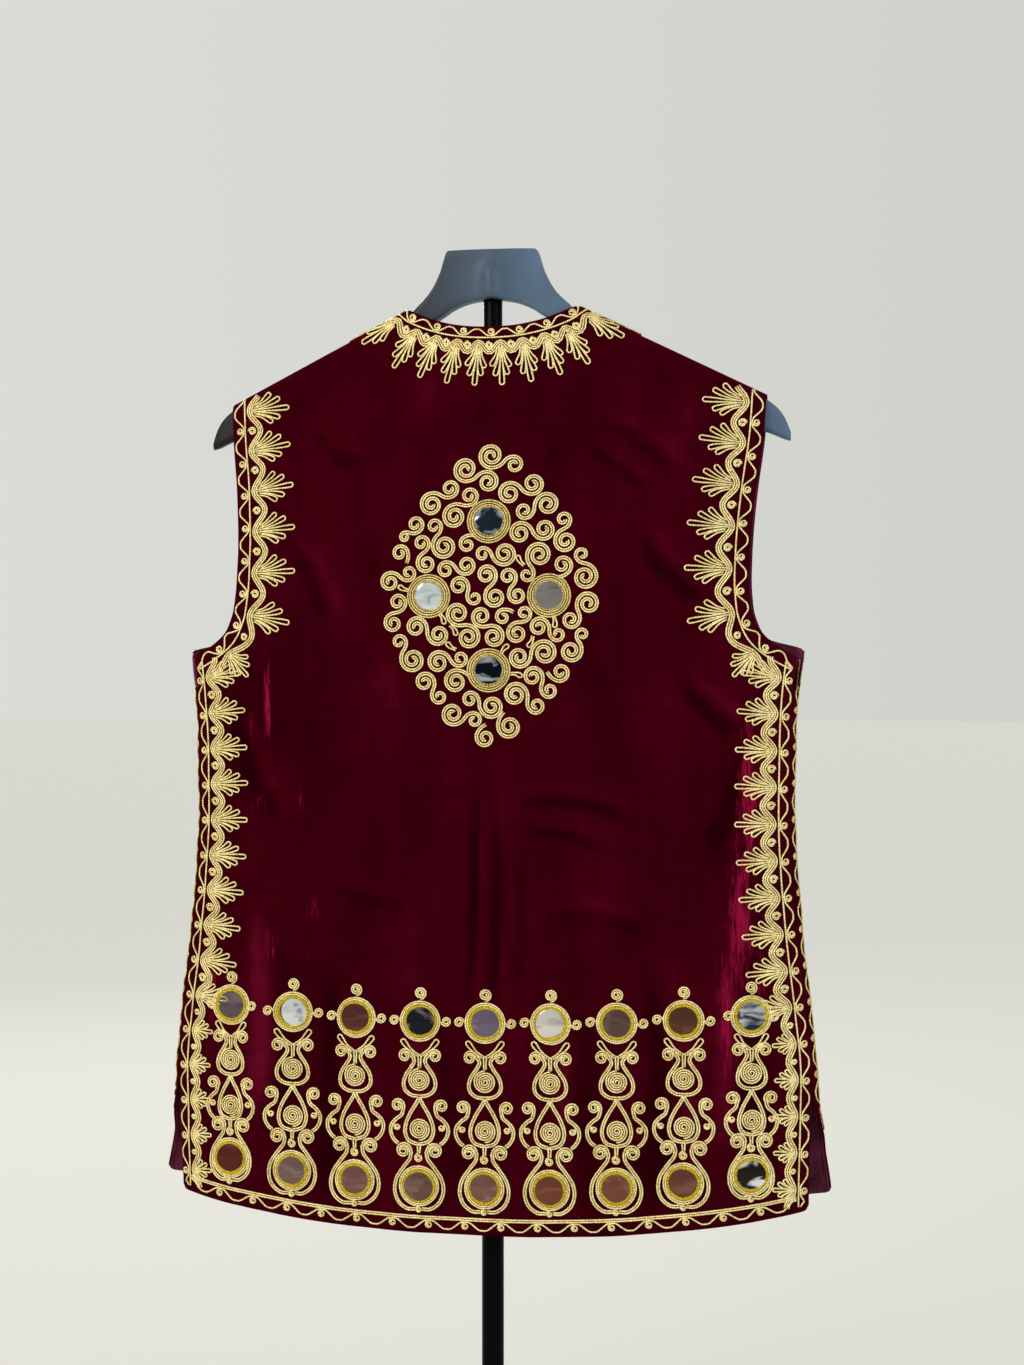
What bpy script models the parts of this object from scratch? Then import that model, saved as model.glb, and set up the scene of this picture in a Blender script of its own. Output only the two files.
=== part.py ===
"""Embroidered velvet vest hanging on a plain telescoping hanger stand.

Metres, +Z up. The origin is the centre of the base's underside, on the floor. The wearer's back faces -Y,
the fronts face +Y, and +X is on the wearer's right. The vest is three velvet panels, a back and two fronts,
sewn at the shoulders and sides with a vent at the foot of each side seam, and 22 round mirrors sewn on the back.
A panel is a grid of columns, from its centre to its side edge, and rows, from hem to top. Each grid point lies
on a level loop round the body at its height, and the panel's inner face is the same grid moved in along the
surface's normals.
"""

import math

import bmesh
import bpy
import numpy as np
from mathutils import Vector

GAP = 0.0003  # between two pieces that touch
CLOTH = 0.002  # velvet, interlining and lining sewn together
SATIN = 0.001  # the lining where it shows inside a vent

# Shoulders and neck
NECK_HALF = 0.0685
NECK_Z = 0.9793
NECK_DIP = 0.017  # back neckline's lowest point, below the neck points
V_NECK_Z = 0.800  # where the two front edges meet the neckline
NECK_CURVE = 2.2
V_NECK_CURVE = 0.85
SHOULDER_SLOPE = 0.48
SHOULDER_SOFT = 0.012  # how softly the shoulder line turns over at the centre
ROLL = 0.0102  # radius of the cloth's outer face where it rolls over the hanger's arm
SHOULDER_DROP = 0.22  # below this drop from the shoulder the body has its full depth
FRONT_OPENING = 0.003  # each front edge from the centre line

# Body
ARMPIT_Z = 0.7014
ARMPIT_TURN = 0.014  # height over which a front's armhole edge leaves the side seam
ARMHOLE_TOP_Z = 0.9085
VENT_Z = 0.366
VENT_TURN = 0.05  # height over which a front's vent edge leaves the side seam
ROUNDNESS = 2.8  # exponent of the superellipse that a level loop follows
USUAL_HALF_WIDTH = 0.24  # for measuring along a loop
USUAL_HALF_DEPTH = 0.03
SEAM_X = 0.986  # side seam, as a share of the loop's half width, on its back side
OPEN_Q = 0.515  # the front's edge at the foot of its vent, as a share of the half loop
BODY_Y = -0.008  # the hanging body's middle plane
HEM_CENTRE_Z = 0.2515
HEM_RISE = 0.024
HEM_HALF = 0.249
HEM_CURVE = 2.2
FRONT_HEM_UP = 0.006  # the front hem is cut this much shorter
VENT_ROWS = 5  # rows and columns of a front that its strip of lining takes
VENT_COLUMNS = 7
CORNER = 0.008  # radius of the hem's corners

# height, half width of the back's loop, half width of the front's loop, half depth
LOOPS = [
    (0.230, 0.2528, 0.2720, 0.0340),
    (0.275, 0.2530, 0.2705, 0.0335),
    (0.318, 0.2540, 0.2635, 0.0320),
    (0.351, 0.2548, 0.2575, 0.0305),
    (0.381, 0.2550, 0.2550, 0.0295),
    (0.428, 0.2506, 0.2506, 0.0285),
    (0.474, 0.2450, 0.2450, 0.0275),
    (0.531, 0.2400, 0.2400, 0.0270),
    (0.569, 0.2380, 0.2380, 0.0270),
    (0.618, 0.2383, 0.2383, 0.0275),
    (0.650, 0.2390, 0.2390, 0.0285),
    (0.680, 0.2415, 0.2415, 0.0295),
    (0.7014, 0.2440, 0.2440, 0.0300),
    (0.730, 0.2445, 0.2445, 0.0300),
    (1.030, 0.2445, 0.2445, 0.0300),
]
# height, half width between the armhole edges
ARMHOLE = [
    (0.7014, 0.2405),
    (0.7090, 0.2270),
    (0.7168, 0.2163),
    (0.7321, 0.2077),
    (0.7502, 0.2047),
    (0.7804, 0.2045),
    (0.8334, 0.2087),
    (0.8746, 0.2140),
    (ARMHOLE_TOP_Z, 0.2162),
    (0.9800, 0.2170),
]

# Mirrors
MIRROR_R = 0.0115
MIRROR_T = 0.001
MIRROR_SIDES = 16
MEDALLION = (0.003, 0.749)  # x and z of its centre
MEDALLION_MIRRORS = {  # across and up from its centre
    "top": (0.0, 0.058),
    "left": (-0.0475, 0.0),
    "right": (0.0475, 0.0),
    "bottom": (0.0, -0.058),
}
COLUMN_COUNT = 9
COLUMN_PITCH = 0.0515
COLUMN_TOP_Z = 0.416
COLUMN_TOP_RISE = 0.009  # the outermost columns start this much higher
COLUMN_FOOT = 0.0365  # bottom mirror above the hem

# Hanger head: distance from its middle, top, bottom, half thickness, corner radius. None takes the arm's own line.
HANGER = [
    (0.0000, 1.0245, 0.9858, 0.0068, 0.0025),
    (0.0180, 1.0247, 0.9831, 0.0068, 0.0025),
    (0.0340, 1.0245, 0.9763, 0.0068, 0.0025),
    (0.0362, 1.0225, 0.9751, 0.0068, 0.0025),
    (0.0390, 1.0147, 0.9734, 0.0068, 0.0025),
    (0.0450, 1.0044, 0.9692, 0.0068, 0.0028),
    (0.0535, 0.9928, 0.9624, 0.0067, 0.0035),
    (0.0600, 0.9840, 0.9560, 0.0066, 0.0050),
    (0.0660, None, None, 0.0065, 0.0065),
    (0.1000, None, None, 0.0065, 0.0065),
    (0.1400, None, None, 0.0065, 0.0065),
    (0.1800, None, None, 0.0065, 0.0065),
    (0.2120, None, None, 0.0065, 0.0065),
    (0.2230, 0.8990, 0.8760, 0.0060, 0.0060),
    (0.2300, 0.8900, 0.8730, 0.0055, 0.0055),
    (0.2345, 0.8790, 0.8718, 0.0040, 0.0035),
]
ARM_BELOW_CLOTH = 0.0036
ARM_HEIGHT = 0.030  # shoulder line to the arm's underside
BEND_Y = -0.004  # the head's middle plane at x = 0
BEND_FORWARD = 0.024  # the tips from that plane
TIP_X = 0.2348
BEND_POWER = 1.3
CORNER_STEPS = 3

# Stand
UPPER_R = 0.0075
LOWER_R = 0.0087
TUBE_WALL = 0.0012
SLIDE_CLEARANCE = 0.00035
TUBE_SIDES = 24
UPPER_FOOT_Z = 0.0163
UPPER_TOP_Z = 1.0077
LOWER_TOP_Z = 0.500
BORE_FLOOR_Z = 0.016
BASE_R = 0.140
BASE_T = 0.006
BASE_EDGE = 0.003
BASE_SIDES = 40
FLANGE_R = 0.0225
FLANGE_T = 0.012
COLLAR_R = 0.0125
COLLAR_LENGTH = 0.025
COLLAR_BELOW_RIM = 0.002
BOSS_R = 0.0115
BOSS_FOOT_Z = 0.9862
BOSS_TOP_Z = 1.012
SOCKET_BELOW_BOSS = 0.02

MATERIALS = {  # base colour, roughness, metallic
    "velvet": ((0.060, 0.003, 0.012), 0.85, 0.0),
    "satin": ((0.110, 0.012, 0.035), 0.45, 0.0),
    "mirror": ((0.80, 0.80, 0.82), 0.08, 1.0),
    "plastic": ((0.012, 0.014, 0.018), 0.38, 0.0),
    "steel": ((0.010, 0.010, 0.011), 0.35, 0.0),
}


def ease(t):
    t = min(max(t, 0.0), 1.0)
    return t * t * (3 - 2 * t)


def curve_through(rows, column):
    """A smooth function of the first column that passes through the given column's values."""
    at = np.array([row[0] for row in rows])
    values = np.array([row[column] for row in rows])
    slopes = np.gradient(values, at)

    def value(x):
        x = min(max(x, at[0]), at[-1])
        i = min(int(np.searchsorted(at, x, side="right")) - 1, len(at) - 2)
        step = at[i + 1] - at[i]
        t = (x - at[i]) / step
        first = (1 + 2 * t) * (1 - t) ** 2 * values[i] + t * (1 - t) ** 2 * step * slopes[i]
        last = t * t * (3 - 2 * t) * values[i + 1] + t * t * (t - 1) * step * slopes[i + 1]
        return first + last

    return value


back_half_width = curve_through(LOOPS, 1)
front_half_width = curve_through(LOOPS, 2)
half_depth = curve_through(LOOPS, 3)
armhole_half = curve_through(ARMHOLE, 1)


def unit_loop():
    """Half a loop, from centre back round the side to centre front, against its share of the length."""
    angle = np.linspace(0, math.pi, 2001)
    x = np.abs(np.sin(angle)) ** (2 / ROUNDNESS)
    y = -np.sign(np.cos(angle)) * np.abs(np.cos(angle)) ** (2 / ROUNDNESS)
    steps = np.hypot(np.diff(x) * USUAL_HALF_WIDTH, np.diff(y) * USUAL_HALF_DEPTH)
    length = np.concatenate([[0], np.cumsum(steps)])
    return length / length[-1], x, y


LOOP_Q, LOOP_X, LOOP_Y = unit_loop()
HALF_LOOP = 0.49  # metres along half a loop, for turning a gap into a share


def q_of(share, side):
    """Where the loop has this share of its half width, on its back (-1) or front (1) side."""
    half = len(LOOP_Q) // 2 + 1
    q = float(np.interp(share, LOOP_X[:half], LOOP_Q[:half]))
    return q if side < 0 else 1 - q


SEAM_Q = q_of(SEAM_X, -1)


def shoulder_line(x):
    """Height of the shoulder seam's line, carried on across the neck and past the arm."""
    soft = math.hypot(x, SHOULDER_SOFT)
    return NECK_Z - SHOULDER_SLOPE * (soft - NECK_HALF)


def bend(x):
    """How far the hanger's arm, and the shoulder on it, comes forward."""
    return BEND_Y + BEND_FORWARD * (abs(x) / TIP_X) ** BEND_POWER


def depth(drop, z):
    """Distance of the cloth's outer face from its middle plane, this far below the shoulder line."""
    if drop < ROLL:
        return ROLL * math.sqrt(max(0.0, 1 - (1 - drop / ROLL) ** 2))
    return ROLL + (half_depth(z) - ROLL) * ease((drop - ROLL) / SHOULDER_DROP)


def half_width(z, side):
    return back_half_width(z) if side < 0 else front_half_width(z)


def cloth_point(q, z, side):
    """A point of the outer face at x >= 0: q goes from 0, centre back, to 1, centre front."""
    x = half_width(z, side) * float(np.interp(q, LOOP_Q, LOOP_X))
    round_off = float(np.interp(q, LOOP_Q, LOOP_Y))
    drop = shoulder_line(x) - z
    low = ease(drop / SHOULDER_DROP)
    reach = round_off if low >= 1 else side * (1 + (abs(round_off) - 1) * low)
    middle = bend(x) * (1 - low) + BODY_Y * low
    return Vector((x, middle + side * GAP / 2 + depth(drop, z) * reach, z))


def cloth_normal(q, z, side):
    """The outer face's normal at the same place."""
    point = cloth_point(q, z, side)
    drop = shoulder_line(point.x) - z
    if drop < ROLL:
        turn = math.acos(max(-1.0, 1 - max(drop, 0.0) / ROLL))
        return Vector((SHOULDER_SLOPE * math.cos(turn), side * math.sin(turn), math.cos(turn))).normalized()
    nudge = 0.0015
    along = cloth_point(min(q + nudge, 1), z, side) - cloth_point(max(q - nudge, 0), z, side)
    up = point - cloth_point(q, z - nudge, side)
    normal = along.cross(up).normalized()
    if q <= nudge or q >= 1 - nudge:
        normal.x = 0
    return normal


def edge_q(z, side):
    """Where a panel's side edge is: its seam, its vent or its armhole."""
    seam = SEAM_Q + side * GAP / 2 / HALF_LOOP
    if z > ARMPIT_Z:
        hole = q_of(armhole_half(z) / half_width(z, side), side)
        return hole if side < 0 else seam + (hole - seam) * ease((z - ARMPIT_Z) / ARMPIT_TURN)
    if side > 0 and z < VENT_Z:
        return seam + (OPEN_Q - seam) * ease((VENT_Z - z) / VENT_TURN)
    return seam


def column_q(w, z, side):
    """Column w of a panel: 0 at centre back or at a front's opening, 1 at the side edge."""
    inner = 0.0 if side < 0 else q_of(FRONT_OPENING / half_width(z, side), side)
    return inner + w * (edge_q(z, side) - inner)


def hem_z(x, side):
    return HEM_CENTRE_Z + HEM_RISE * (abs(x) / HEM_HALF) ** HEM_CURVE + (FRONT_HEM_UP if side > 0 else 0)


def top_z(x, side):
    """Neckline, then shoulder seam."""
    if x >= NECK_HALF:
        return shoulder_line(x)
    if side < 0:
        return NECK_Z - NECK_DIP * (1 - (x / NECK_HALF) ** NECK_CURVE)
    rise = max(0.0, (x - FRONT_OPENING) / (NECK_HALF - FRONT_OPENING))
    return V_NECK_Z + (NECK_Z - V_NECK_Z) * rise**V_NECK_CURVE


def settle(outline, w, start, side):
    """The height at which column w meets an outline given as a function of x."""
    z = start
    for _ in range(40):
        x = cloth_point(column_q(w, z, side), z, side).x
        z += 0.5 * (outline(x, side) - z)
    return z


def corner_lift(inset):
    """Rise of a hem's rounded corner, this far in from the side edge."""
    short = min(max(CORNER - inset, 0.0), CORNER)
    return CORNER - math.sqrt(CORNER**2 - short**2)


def neck_column(side):
    """The column that ends at the neck point."""
    inner = column_q(0, NECK_Z, side)
    return (q_of(NECK_HALF / half_width(NECK_Z, side), side) - inner) / (edge_q(NECK_Z, side) - inner)


def columns(side):
    """Shares of a panel's width from its centre: close at the neck point and at the side edge."""
    neck = neck_column(side)
    inner = neck * np.array([0, 0.35, 0.65, 0.83, 0.92, 0.97, 1])
    outer = neck + (1 - neck) * np.array([0.2, 0.4, 0.6, 0.76, 0.88, 0.945, 0.975, 0.99, 1])
    return [*inner, *outer]


def rows(side, w):
    """Heights of a column's points, from hem to top, with one at the armpit on the side edge."""
    top = settle(top_z, w, NECK_Z, side)
    edge_x = cloth_point(column_q(1, HEM_CENTRE_Z, side), HEM_CENTRE_Z, side).x
    hem = settle(hem_z, w, HEM_CENTRE_Z, side)
    hem += corner_lift(edge_x - cloth_point(column_q(w, hem, side), hem, side).x)
    edge_hem = hem_z(edge_x, side) + CORNER
    edge_top = shoulder_line(armhole_half(ARMHOLE_TOP_Z)) - ROLL
    armpit = (ARMPIT_Z - edge_hem) / (edge_top - edge_hem)
    lower = armpit * np.array([0, 0.06, 0.12, 0.2, 0.3, 0.42, 0.56, 0.7, 0.82, 0.92, 1])
    upper = armpit + (1 - armpit) * np.array([0.03, 0.07, 0.12, 0.2, 0.32, 0.5, 0.68, 0.84, 0.94, 1])
    heights = [hem + share * (top - ROLL - hem) for share in [*lower, *upper]]
    return heights + [top - ROLL * (1 - math.cos(math.radians(a))) for a in (60, 30, 0)]


def material(name):
    found = bpy.data.materials.get(name)
    if found:
        return found
    colour, roughness, metallic = MATERIALS[name]
    made = bpy.data.materials.new(name)
    made.use_nodes = True
    shader = made.node_tree.nodes["Principled BSDF"]
    shader.inputs["Base Color"].default_value = (*colour, 1)
    shader.inputs["Roughness"].default_value = roughness
    shader.inputs["Metallic"].default_value = metallic
    made.diffuse_color = (*colour, 1)
    return made


def add_object(name, mesh, finish):
    obj = bpy.data.objects.new(name, mesh)
    bpy.context.scene.collection.objects.link(obj)
    if not mesh.materials:
        mesh.materials.append(material(finish))
    return obj


def mesh_of(name, bm, sharp_deg=35):
    bmesh.ops.recalc_face_normals(bm, faces=bm.faces)
    mesh = bpy.data.meshes.new(name)
    bm.to_mesh(mesh)
    bm.free()
    mesh.shade_smooth()
    mesh.set_sharp_from_angle(angle=math.radians(sharp_deg))
    return mesh


def walled(name, outer, inner, finish):
    """A closed wall between two grids of the same size."""
    bm = bmesh.new()
    layers = [[[bm.verts.new(point) for point in column] for column in grid] for grid in (outer, inner)]
    wide, high = len(outer), len(outer[0])
    for layer in layers:
        for i in range(wide - 1):
            for j in range(high - 1):
                bm.faces.new((layer[i][j], layer[i + 1][j], layer[i + 1][j + 1], layer[i][j + 1]))
    rim = [(i, 0) for i in range(wide)] + [(wide - 1, j) for j in range(1, high)]
    rim += [(i, high - 1) for i in range(wide - 2, -1, -1)] + [(0, j) for j in range(high - 2, 0, -1)]
    for (i, j), (k, m) in zip(rim, rim[1:] + rim[:1]):
        bm.faces.new((layers[0][i][j], layers[0][k][m], layers[1][k][m], layers[1][i][j]))
    return add_object(name, mesh_of(name, bm, 60), finish)


def panel_grids(side, shares, mirrored, outset=0.0, wall=CLOTH, heights=rows):
    """Outer and inner grids of a panel. A negative share is a column on the far side of the centre."""
    outer, inner = [], []
    for share in shares:
        flip = -1 if (share < 0) != mirrored else 1
        w = abs(share)
        points = [(column_q(w, z, side), z) for z in heights(side, w)]
        places = [cloth_point(q, z, side) for q, z in points]
        normals = [cloth_normal(q, z, side) for q, z in points]
        turn = Vector((flip, 1, 1))
        outer.append([(p + n * outset) * turn for p, n in zip(places, normals)])
        inner.append([(p + n * (outset - wall)) * turn for p, n in zip(places, normals)])
    return outer, inner


def build_vest():
    half = columns(-1)
    walled("back_panel", *panel_grids(-1, [-w for w in reversed(half[1:])] + half, False), "velvet")
    for name, mirrored in (("right", False), ("left", True)):
        walled("front_" + name, *panel_grids(1, columns(1), mirrored), "velvet")
        walled("lining_" + name, *lining_grids(mirrored), "satin")


def lining_grids(mirrored):
    """The satin inside a front, on the front's own points, where its vent lets it show."""

    def vent_rows(side, w):
        return rows(side, w)[:VENT_ROWS]

    return panel_grids(1, columns(1)[-VENT_COLUMNS:-1], mirrored, -CLOTH - GAP, SATIN, vent_rows)


def mirror_places():
    """Name, x and z of each mirror on the back."""
    for name, (dx, dz) in MEDALLION_MIRRORS.items():
        yield "mirror_medallion_" + name, MEDALLION[0] + dx, MEDALLION[1] + dz
    for i in range(COLUMN_COUNT):
        x = (i - (COLUMN_COUNT - 1) / 2) * COLUMN_PITCH
        rise = COLUMN_TOP_RISE * (2 * i / (COLUMN_COUNT - 1) - 1) ** 2
        yield f"mirror_column_{i + 1}_top", x, COLUMN_TOP_Z + rise
        yield f"mirror_column_{i + 1}_foot", x, hem_z(x, -1) + COLUMN_FOOT


def build_mirrors():
    bm = bmesh.new()
    bmesh.ops.create_cone(
        bm, cap_ends=True, segments=MIRROR_SIDES, radius1=MIRROR_R, radius2=MIRROR_R, depth=MIRROR_T
    )
    disc = mesh_of("mirror", bm)
    for name, x, z in mirror_places():
        q = q_of(abs(x) / half_width(z, -1), -1)
        turn = Vector((1 if x >= 0 else -1, 1, 1))
        normal = cloth_normal(q, z, -1) * turn
        obj = add_object(name, disc, "mirror")
        obj.rotation_euler = normal.to_track_quat("Z", "Y").to_euler()
        obj.location = cloth_point(q, z, -1) * turn + normal * (GAP + MIRROR_T / 2)


def hanger_section(x, top, bottom, thick, corner):
    """The head's outline at one distance from its middle: a rounded rectangle across y and z."""
    if top is None:
        top = shoulder_line(x) - ARM_BELOW_CLOTH
        bottom = shoulder_line(x) - ARM_HEIGHT
    points = []
    for quarter, (sy, sz) in enumerate(((1, 1), (-1, 1), (-1, -1), (1, -1))):
        centre_y = sy * (thick - corner)
        centre_z = top - corner if sz > 0 else bottom + corner
        for step in range(CORNER_STEPS + 1):
            angle = math.radians(90 * (quarter + step / CORNER_STEPS))
            points.append((centre_y + corner * math.cos(angle), centre_z + corner * math.sin(angle)))
    return points


def post(name, r, low, high):
    """A round bar for a Boolean."""
    bm = bmesh.new()
    bmesh.ops.create_cone(bm, cap_ends=True, segments=TUBE_SIDES, radius1=r, radius2=r, depth=high - low)
    bmesh.ops.translate(bm, verts=bm.verts, vec=(0, 0, (low + high) / 2))
    obj = add_object(name, mesh_of(name, bm), "plastic")
    obj.hide_render = True
    obj.display_type = "WIRE"
    return obj


def build_hanger():
    bm = bmesh.new()
    rings = []
    for row in [(-x, *rest) for x, *rest in reversed(HANGER[1:])] + HANGER:
        x = row[0]
        section = hanger_section(abs(x), *row[1:])
        ring = [bm.verts.new((x, bend(x) + y, z)) for y, z in section]
        rings.append([bm.edges.new(pair) for pair in zip(ring, ring[1:] + ring[:1])])
    for first, second in zip(rings, rings[1:]):
        bmesh.ops.bridge_loops(bm, edges=first + second)
    for ring in (rings[0], rings[-1]):
        bmesh.ops.contextual_create(bm, geom=ring)
    bmesh.ops.remove_doubles(bm, verts=bm.verts, dist=1e-6)
    head = add_object("hanger_head", mesh_of("hanger_head", bm), "plastic")
    boss = post("boss", BOSS_R, BOSS_FOOT_Z, BOSS_TOP_Z)
    socket = post("socket", UPPER_R + GAP, BOSS_FOOT_Z - SOCKET_BELOW_BOSS, UPPER_TOP_Z + GAP)
    for helper, operation in ((boss, "UNION"), (socket, "DIFFERENCE")):
        cut = head.modifiers.new(helper.name, "BOOLEAN")
        cut.object = helper
        cut.operation = operation


def turned(name, profile, sides, finish):
    """A solid turned from a profile of radius and height. An open profile starts and ends on the axis."""
    bm = bmesh.new()
    verts = [bm.verts.new((r, 0, z)) for r, z in profile]
    pairs = list(zip(verts, verts[1:]))
    if profile[0][0] > 0:
        pairs.append((verts[-1], verts[0]))
    edges = [bm.edges.new(pair) for pair in pairs]
    bmesh.ops.spin(
        bm, geom=verts + edges, cent=(0, 0, 0), axis=(0, 0, 1), angle=math.tau, steps=sides, use_merge=True
    )
    bmesh.ops.remove_doubles(bm, verts=bm.verts, dist=1e-6)
    return add_object(name, mesh_of(name, bm), finish)


def build_stand():
    disc = [(0, 0), (BASE_R, 0), (BASE_R, BASE_T - BASE_EDGE), (BASE_R - BASE_EDGE, BASE_T), (0, BASE_T)]
    turned("base", disc, BASE_SIDES, "steel")
    foot = BASE_T + GAP
    bore = UPPER_R + SLIDE_CLEARANCE
    lower = [(0, foot), (FLANGE_R, foot), (FLANGE_R, foot + FLANGE_T), (LOWER_R, foot + FLANGE_T)]
    lower += [(LOWER_R, LOWER_TOP_Z), (bore, LOWER_TOP_Z), (bore, BORE_FLOOR_Z), (0, BORE_FLOOR_Z)]
    turned("lower_tube", lower, TUBE_SIDES, "steel")
    inner = UPPER_R - TUBE_WALL
    upper = [(inner, UPPER_FOOT_Z), (UPPER_R, UPPER_FOOT_Z), (UPPER_R, UPPER_TOP_Z), (inner, UPPER_TOP_Z)]
    turned("upper_tube", upper, TUBE_SIDES, "steel")
    clear = LOWER_R + GAP
    high = LOWER_TOP_Z - COLLAR_BELOW_RIM
    low = high - COLLAR_LENGTH
    turned("clamp_collar", [(clear, low), (COLLAR_R, low), (COLLAR_R, high), (clear, high)], TUBE_SIDES, "plastic")


def main():
    for obj in list(bpy.data.objects):
        bpy.data.objects.remove(obj)
    build_vest()
    build_mirrors()
    build_hanger()
    build_stand()


main()
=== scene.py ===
import math

import bmesh
import bpy
import numpy as np
from mathutils import Matrix, Vector


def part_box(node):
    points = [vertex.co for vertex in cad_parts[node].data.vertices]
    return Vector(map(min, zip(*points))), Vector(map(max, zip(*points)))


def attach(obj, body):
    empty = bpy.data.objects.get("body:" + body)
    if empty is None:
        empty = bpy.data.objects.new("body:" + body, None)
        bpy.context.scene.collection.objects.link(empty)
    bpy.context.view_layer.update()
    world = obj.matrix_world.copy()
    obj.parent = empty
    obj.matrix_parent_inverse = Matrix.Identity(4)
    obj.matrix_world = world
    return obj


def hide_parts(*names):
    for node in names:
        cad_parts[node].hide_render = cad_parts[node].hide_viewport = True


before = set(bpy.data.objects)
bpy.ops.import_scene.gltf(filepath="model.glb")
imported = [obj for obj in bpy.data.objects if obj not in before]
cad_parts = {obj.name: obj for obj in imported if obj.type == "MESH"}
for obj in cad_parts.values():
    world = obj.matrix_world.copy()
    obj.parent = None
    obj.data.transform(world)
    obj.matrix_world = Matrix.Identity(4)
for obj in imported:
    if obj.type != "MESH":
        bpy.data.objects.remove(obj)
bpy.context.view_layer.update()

# The cloth's form, in metres: the same cut as the solids, as functions of a place on it.
cut = {
    "gap": 0.0003,
    "thick": 0.002,
    "neckHalf": 0.0685,
    "neckZ": 0.9793,
    "neckDip": 0.017,
    "vNeckZ": 0.800,
    "neckCurve": 2.2,
    "vNeckCurve": 0.85,
    "shoulderSlope": 0.48,
    "shoulderSoft": 0.012,
    "roll": 0.0102,  # radius of the fold over the hanger's arm
    "shoulderDrop": 0.22,
    "opening": 0.003,
    "armpitZ": 0.7014,
    "armpitTurn": 0.014,
    "armholeTopZ": 0.9085,
    "ventZ": 0.366,
    "ventTurn": 0.05,
    "roundness": 2.8,
    "seamX": 0.986,
    "openQ": 0.515,
    "bodyY": -0.008,
    "hemZ": 0.2515,
    "hemRise": 0.024,
    "hemHalf": 0.249,
    "frontHemUp": 0.006,
    "corner": 0.004,
}
# height, half width of the back's loop, half width of the front's loop, half depth
loopRows = [
    (0.230, 0.2528, 0.2720, 0.0340),
    (0.275, 0.2530, 0.2705, 0.0335),
    (0.318, 0.2540, 0.2635, 0.0320),
    (0.351, 0.2548, 0.2575, 0.0305),
    (0.381, 0.2550, 0.2550, 0.0295),
    (0.428, 0.2506, 0.2506, 0.0285),
    (0.474, 0.2450, 0.2450, 0.0275),
    (0.531, 0.2400, 0.2400, 0.0270),
    (0.569, 0.2380, 0.2380, 0.0270),
    (0.618, 0.2383, 0.2383, 0.0275),
    (0.650, 0.2390, 0.2390, 0.0285),
    (0.680, 0.2415, 0.2415, 0.0295),
    (0.7014, 0.2440, 0.2440, 0.0300),
    (0.730, 0.2445, 0.2445, 0.0300),
    (1.030, 0.2445, 0.2445, 0.0300),
]
# height, half width between the armhole edges
armholeRows = [
    (0.7014, 0.2405),
    (0.7090, 0.2270),
    (0.7168, 0.2163),
    (0.7321, 0.2077),
    (0.7502, 0.2047),
    (0.7804, 0.2045),
    (0.8334, 0.2087),
    (0.8746, 0.2140),
    (0.9085, 0.2162),
    (0.9800, 0.2170),
]
armBend = {"y": -0.004, "forward": 0.024, "tipX": 0.2348, "power": 1.3}
back, front = -1, 1  # the two sides of a level loop round the body
mm = 0.001


def ease(t):
    t = np.clip(t, 0, 1)
    return t * t * (3 - 2 * t)


def curveThrough(rows, column, limited=False):
    at, values = np.array([row[0] for row in rows]), np.array([row[column] for row in rows])
    slopes = np.gradient(values, at)
    if limited:  # no overshoot beside a sharp bend
        steep = np.diff(values) / np.diff(at)
        both = np.where(steep[:-1] * steep[1:] > 0, steep[:-1] + steep[1:], np.inf)
        slopes[1:-1] = 2 * steep[:-1] * steep[1:] / both

    def value(x):
        x = np.clip(x, at[0], at[-1])
        i = np.clip(np.searchsorted(at, x, side="right") - 1, 0, len(at) - 2)
        step = at[i + 1] - at[i]
        t = (x - at[i]) / step
        first = (1 + 2 * t) * (1 - t) ** 2 * values[i] + t * (1 - t) ** 2 * step * slopes[i]
        last = t * t * (3 - 2 * t) * values[i + 1] + t * t * (t - 1) * step * slopes[i + 1]
        return first + last

    return value


widthOf = {back: curveThrough(loopRows, 1), front: curveThrough(loopRows, 2)}
halfDepth = curveThrough(loopRows, 3)
armholeHalf = curveThrough(armholeRows, 1)

# Half a loop from centre back to centre front: its share of the length, and x and y as shares of its half sizes.
loopTurn = np.linspace(0, math.pi, 2001)
loopX = np.abs(np.sin(loopTurn)) ** (2 / cut["roundness"])
loopY = -np.sign(np.cos(loopTurn)) * np.abs(np.cos(loopTurn)) ** (2 / cut["roundness"])


def loopSteps(wide, deep):
    return np.hypot(np.diff(loopX) * wide, np.diff(loopY) * deep)


loopQ = np.concatenate([[0], np.cumsum(loopSteps(0.24, 0.03))])
loopQ = loopQ / loopQ[-1]
halfRound = len(loopQ) // 2 + 1
loopHeights = np.linspace(0.2, 1.05, 60)
loopLengths = {
    side: np.array([loopSteps(float(widthOf[side](z)), float(halfDepth(z))).sum() for z in loopHeights])
    for side in (back, front)
}


def loopLength(z, side):  # of half a loop at this height
    return np.interp(z, loopHeights, loopLengths[side])


def qOf(share, side):
    q = np.interp(share, loopX[:halfRound], loopQ[:halfRound])
    return q if side == back else 1 - q


seamQ = float(qOf(cut["seamX"], back))


def shoulderLine(x):
    return cut["neckZ"] - cut["shoulderSlope"] * (np.hypot(x, cut["shoulderSoft"]) - cut["neckHalf"])


def armLine(x):
    return armBend["y"] + armBend["forward"] * (np.abs(x) / armBend["tipX"]) ** armBend["power"]


def clothDepth(drop, z):
    roll = cut["roll"]
    rolled = roll * np.sqrt(np.maximum(0, 1 - (1 - np.clip(drop, 0, roll) / roll) ** 2))
    return np.where(drop < roll, rolled, roll + (halfDepth(z) - roll) * ease((drop - roll) / cut["shoulderDrop"]))


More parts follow.
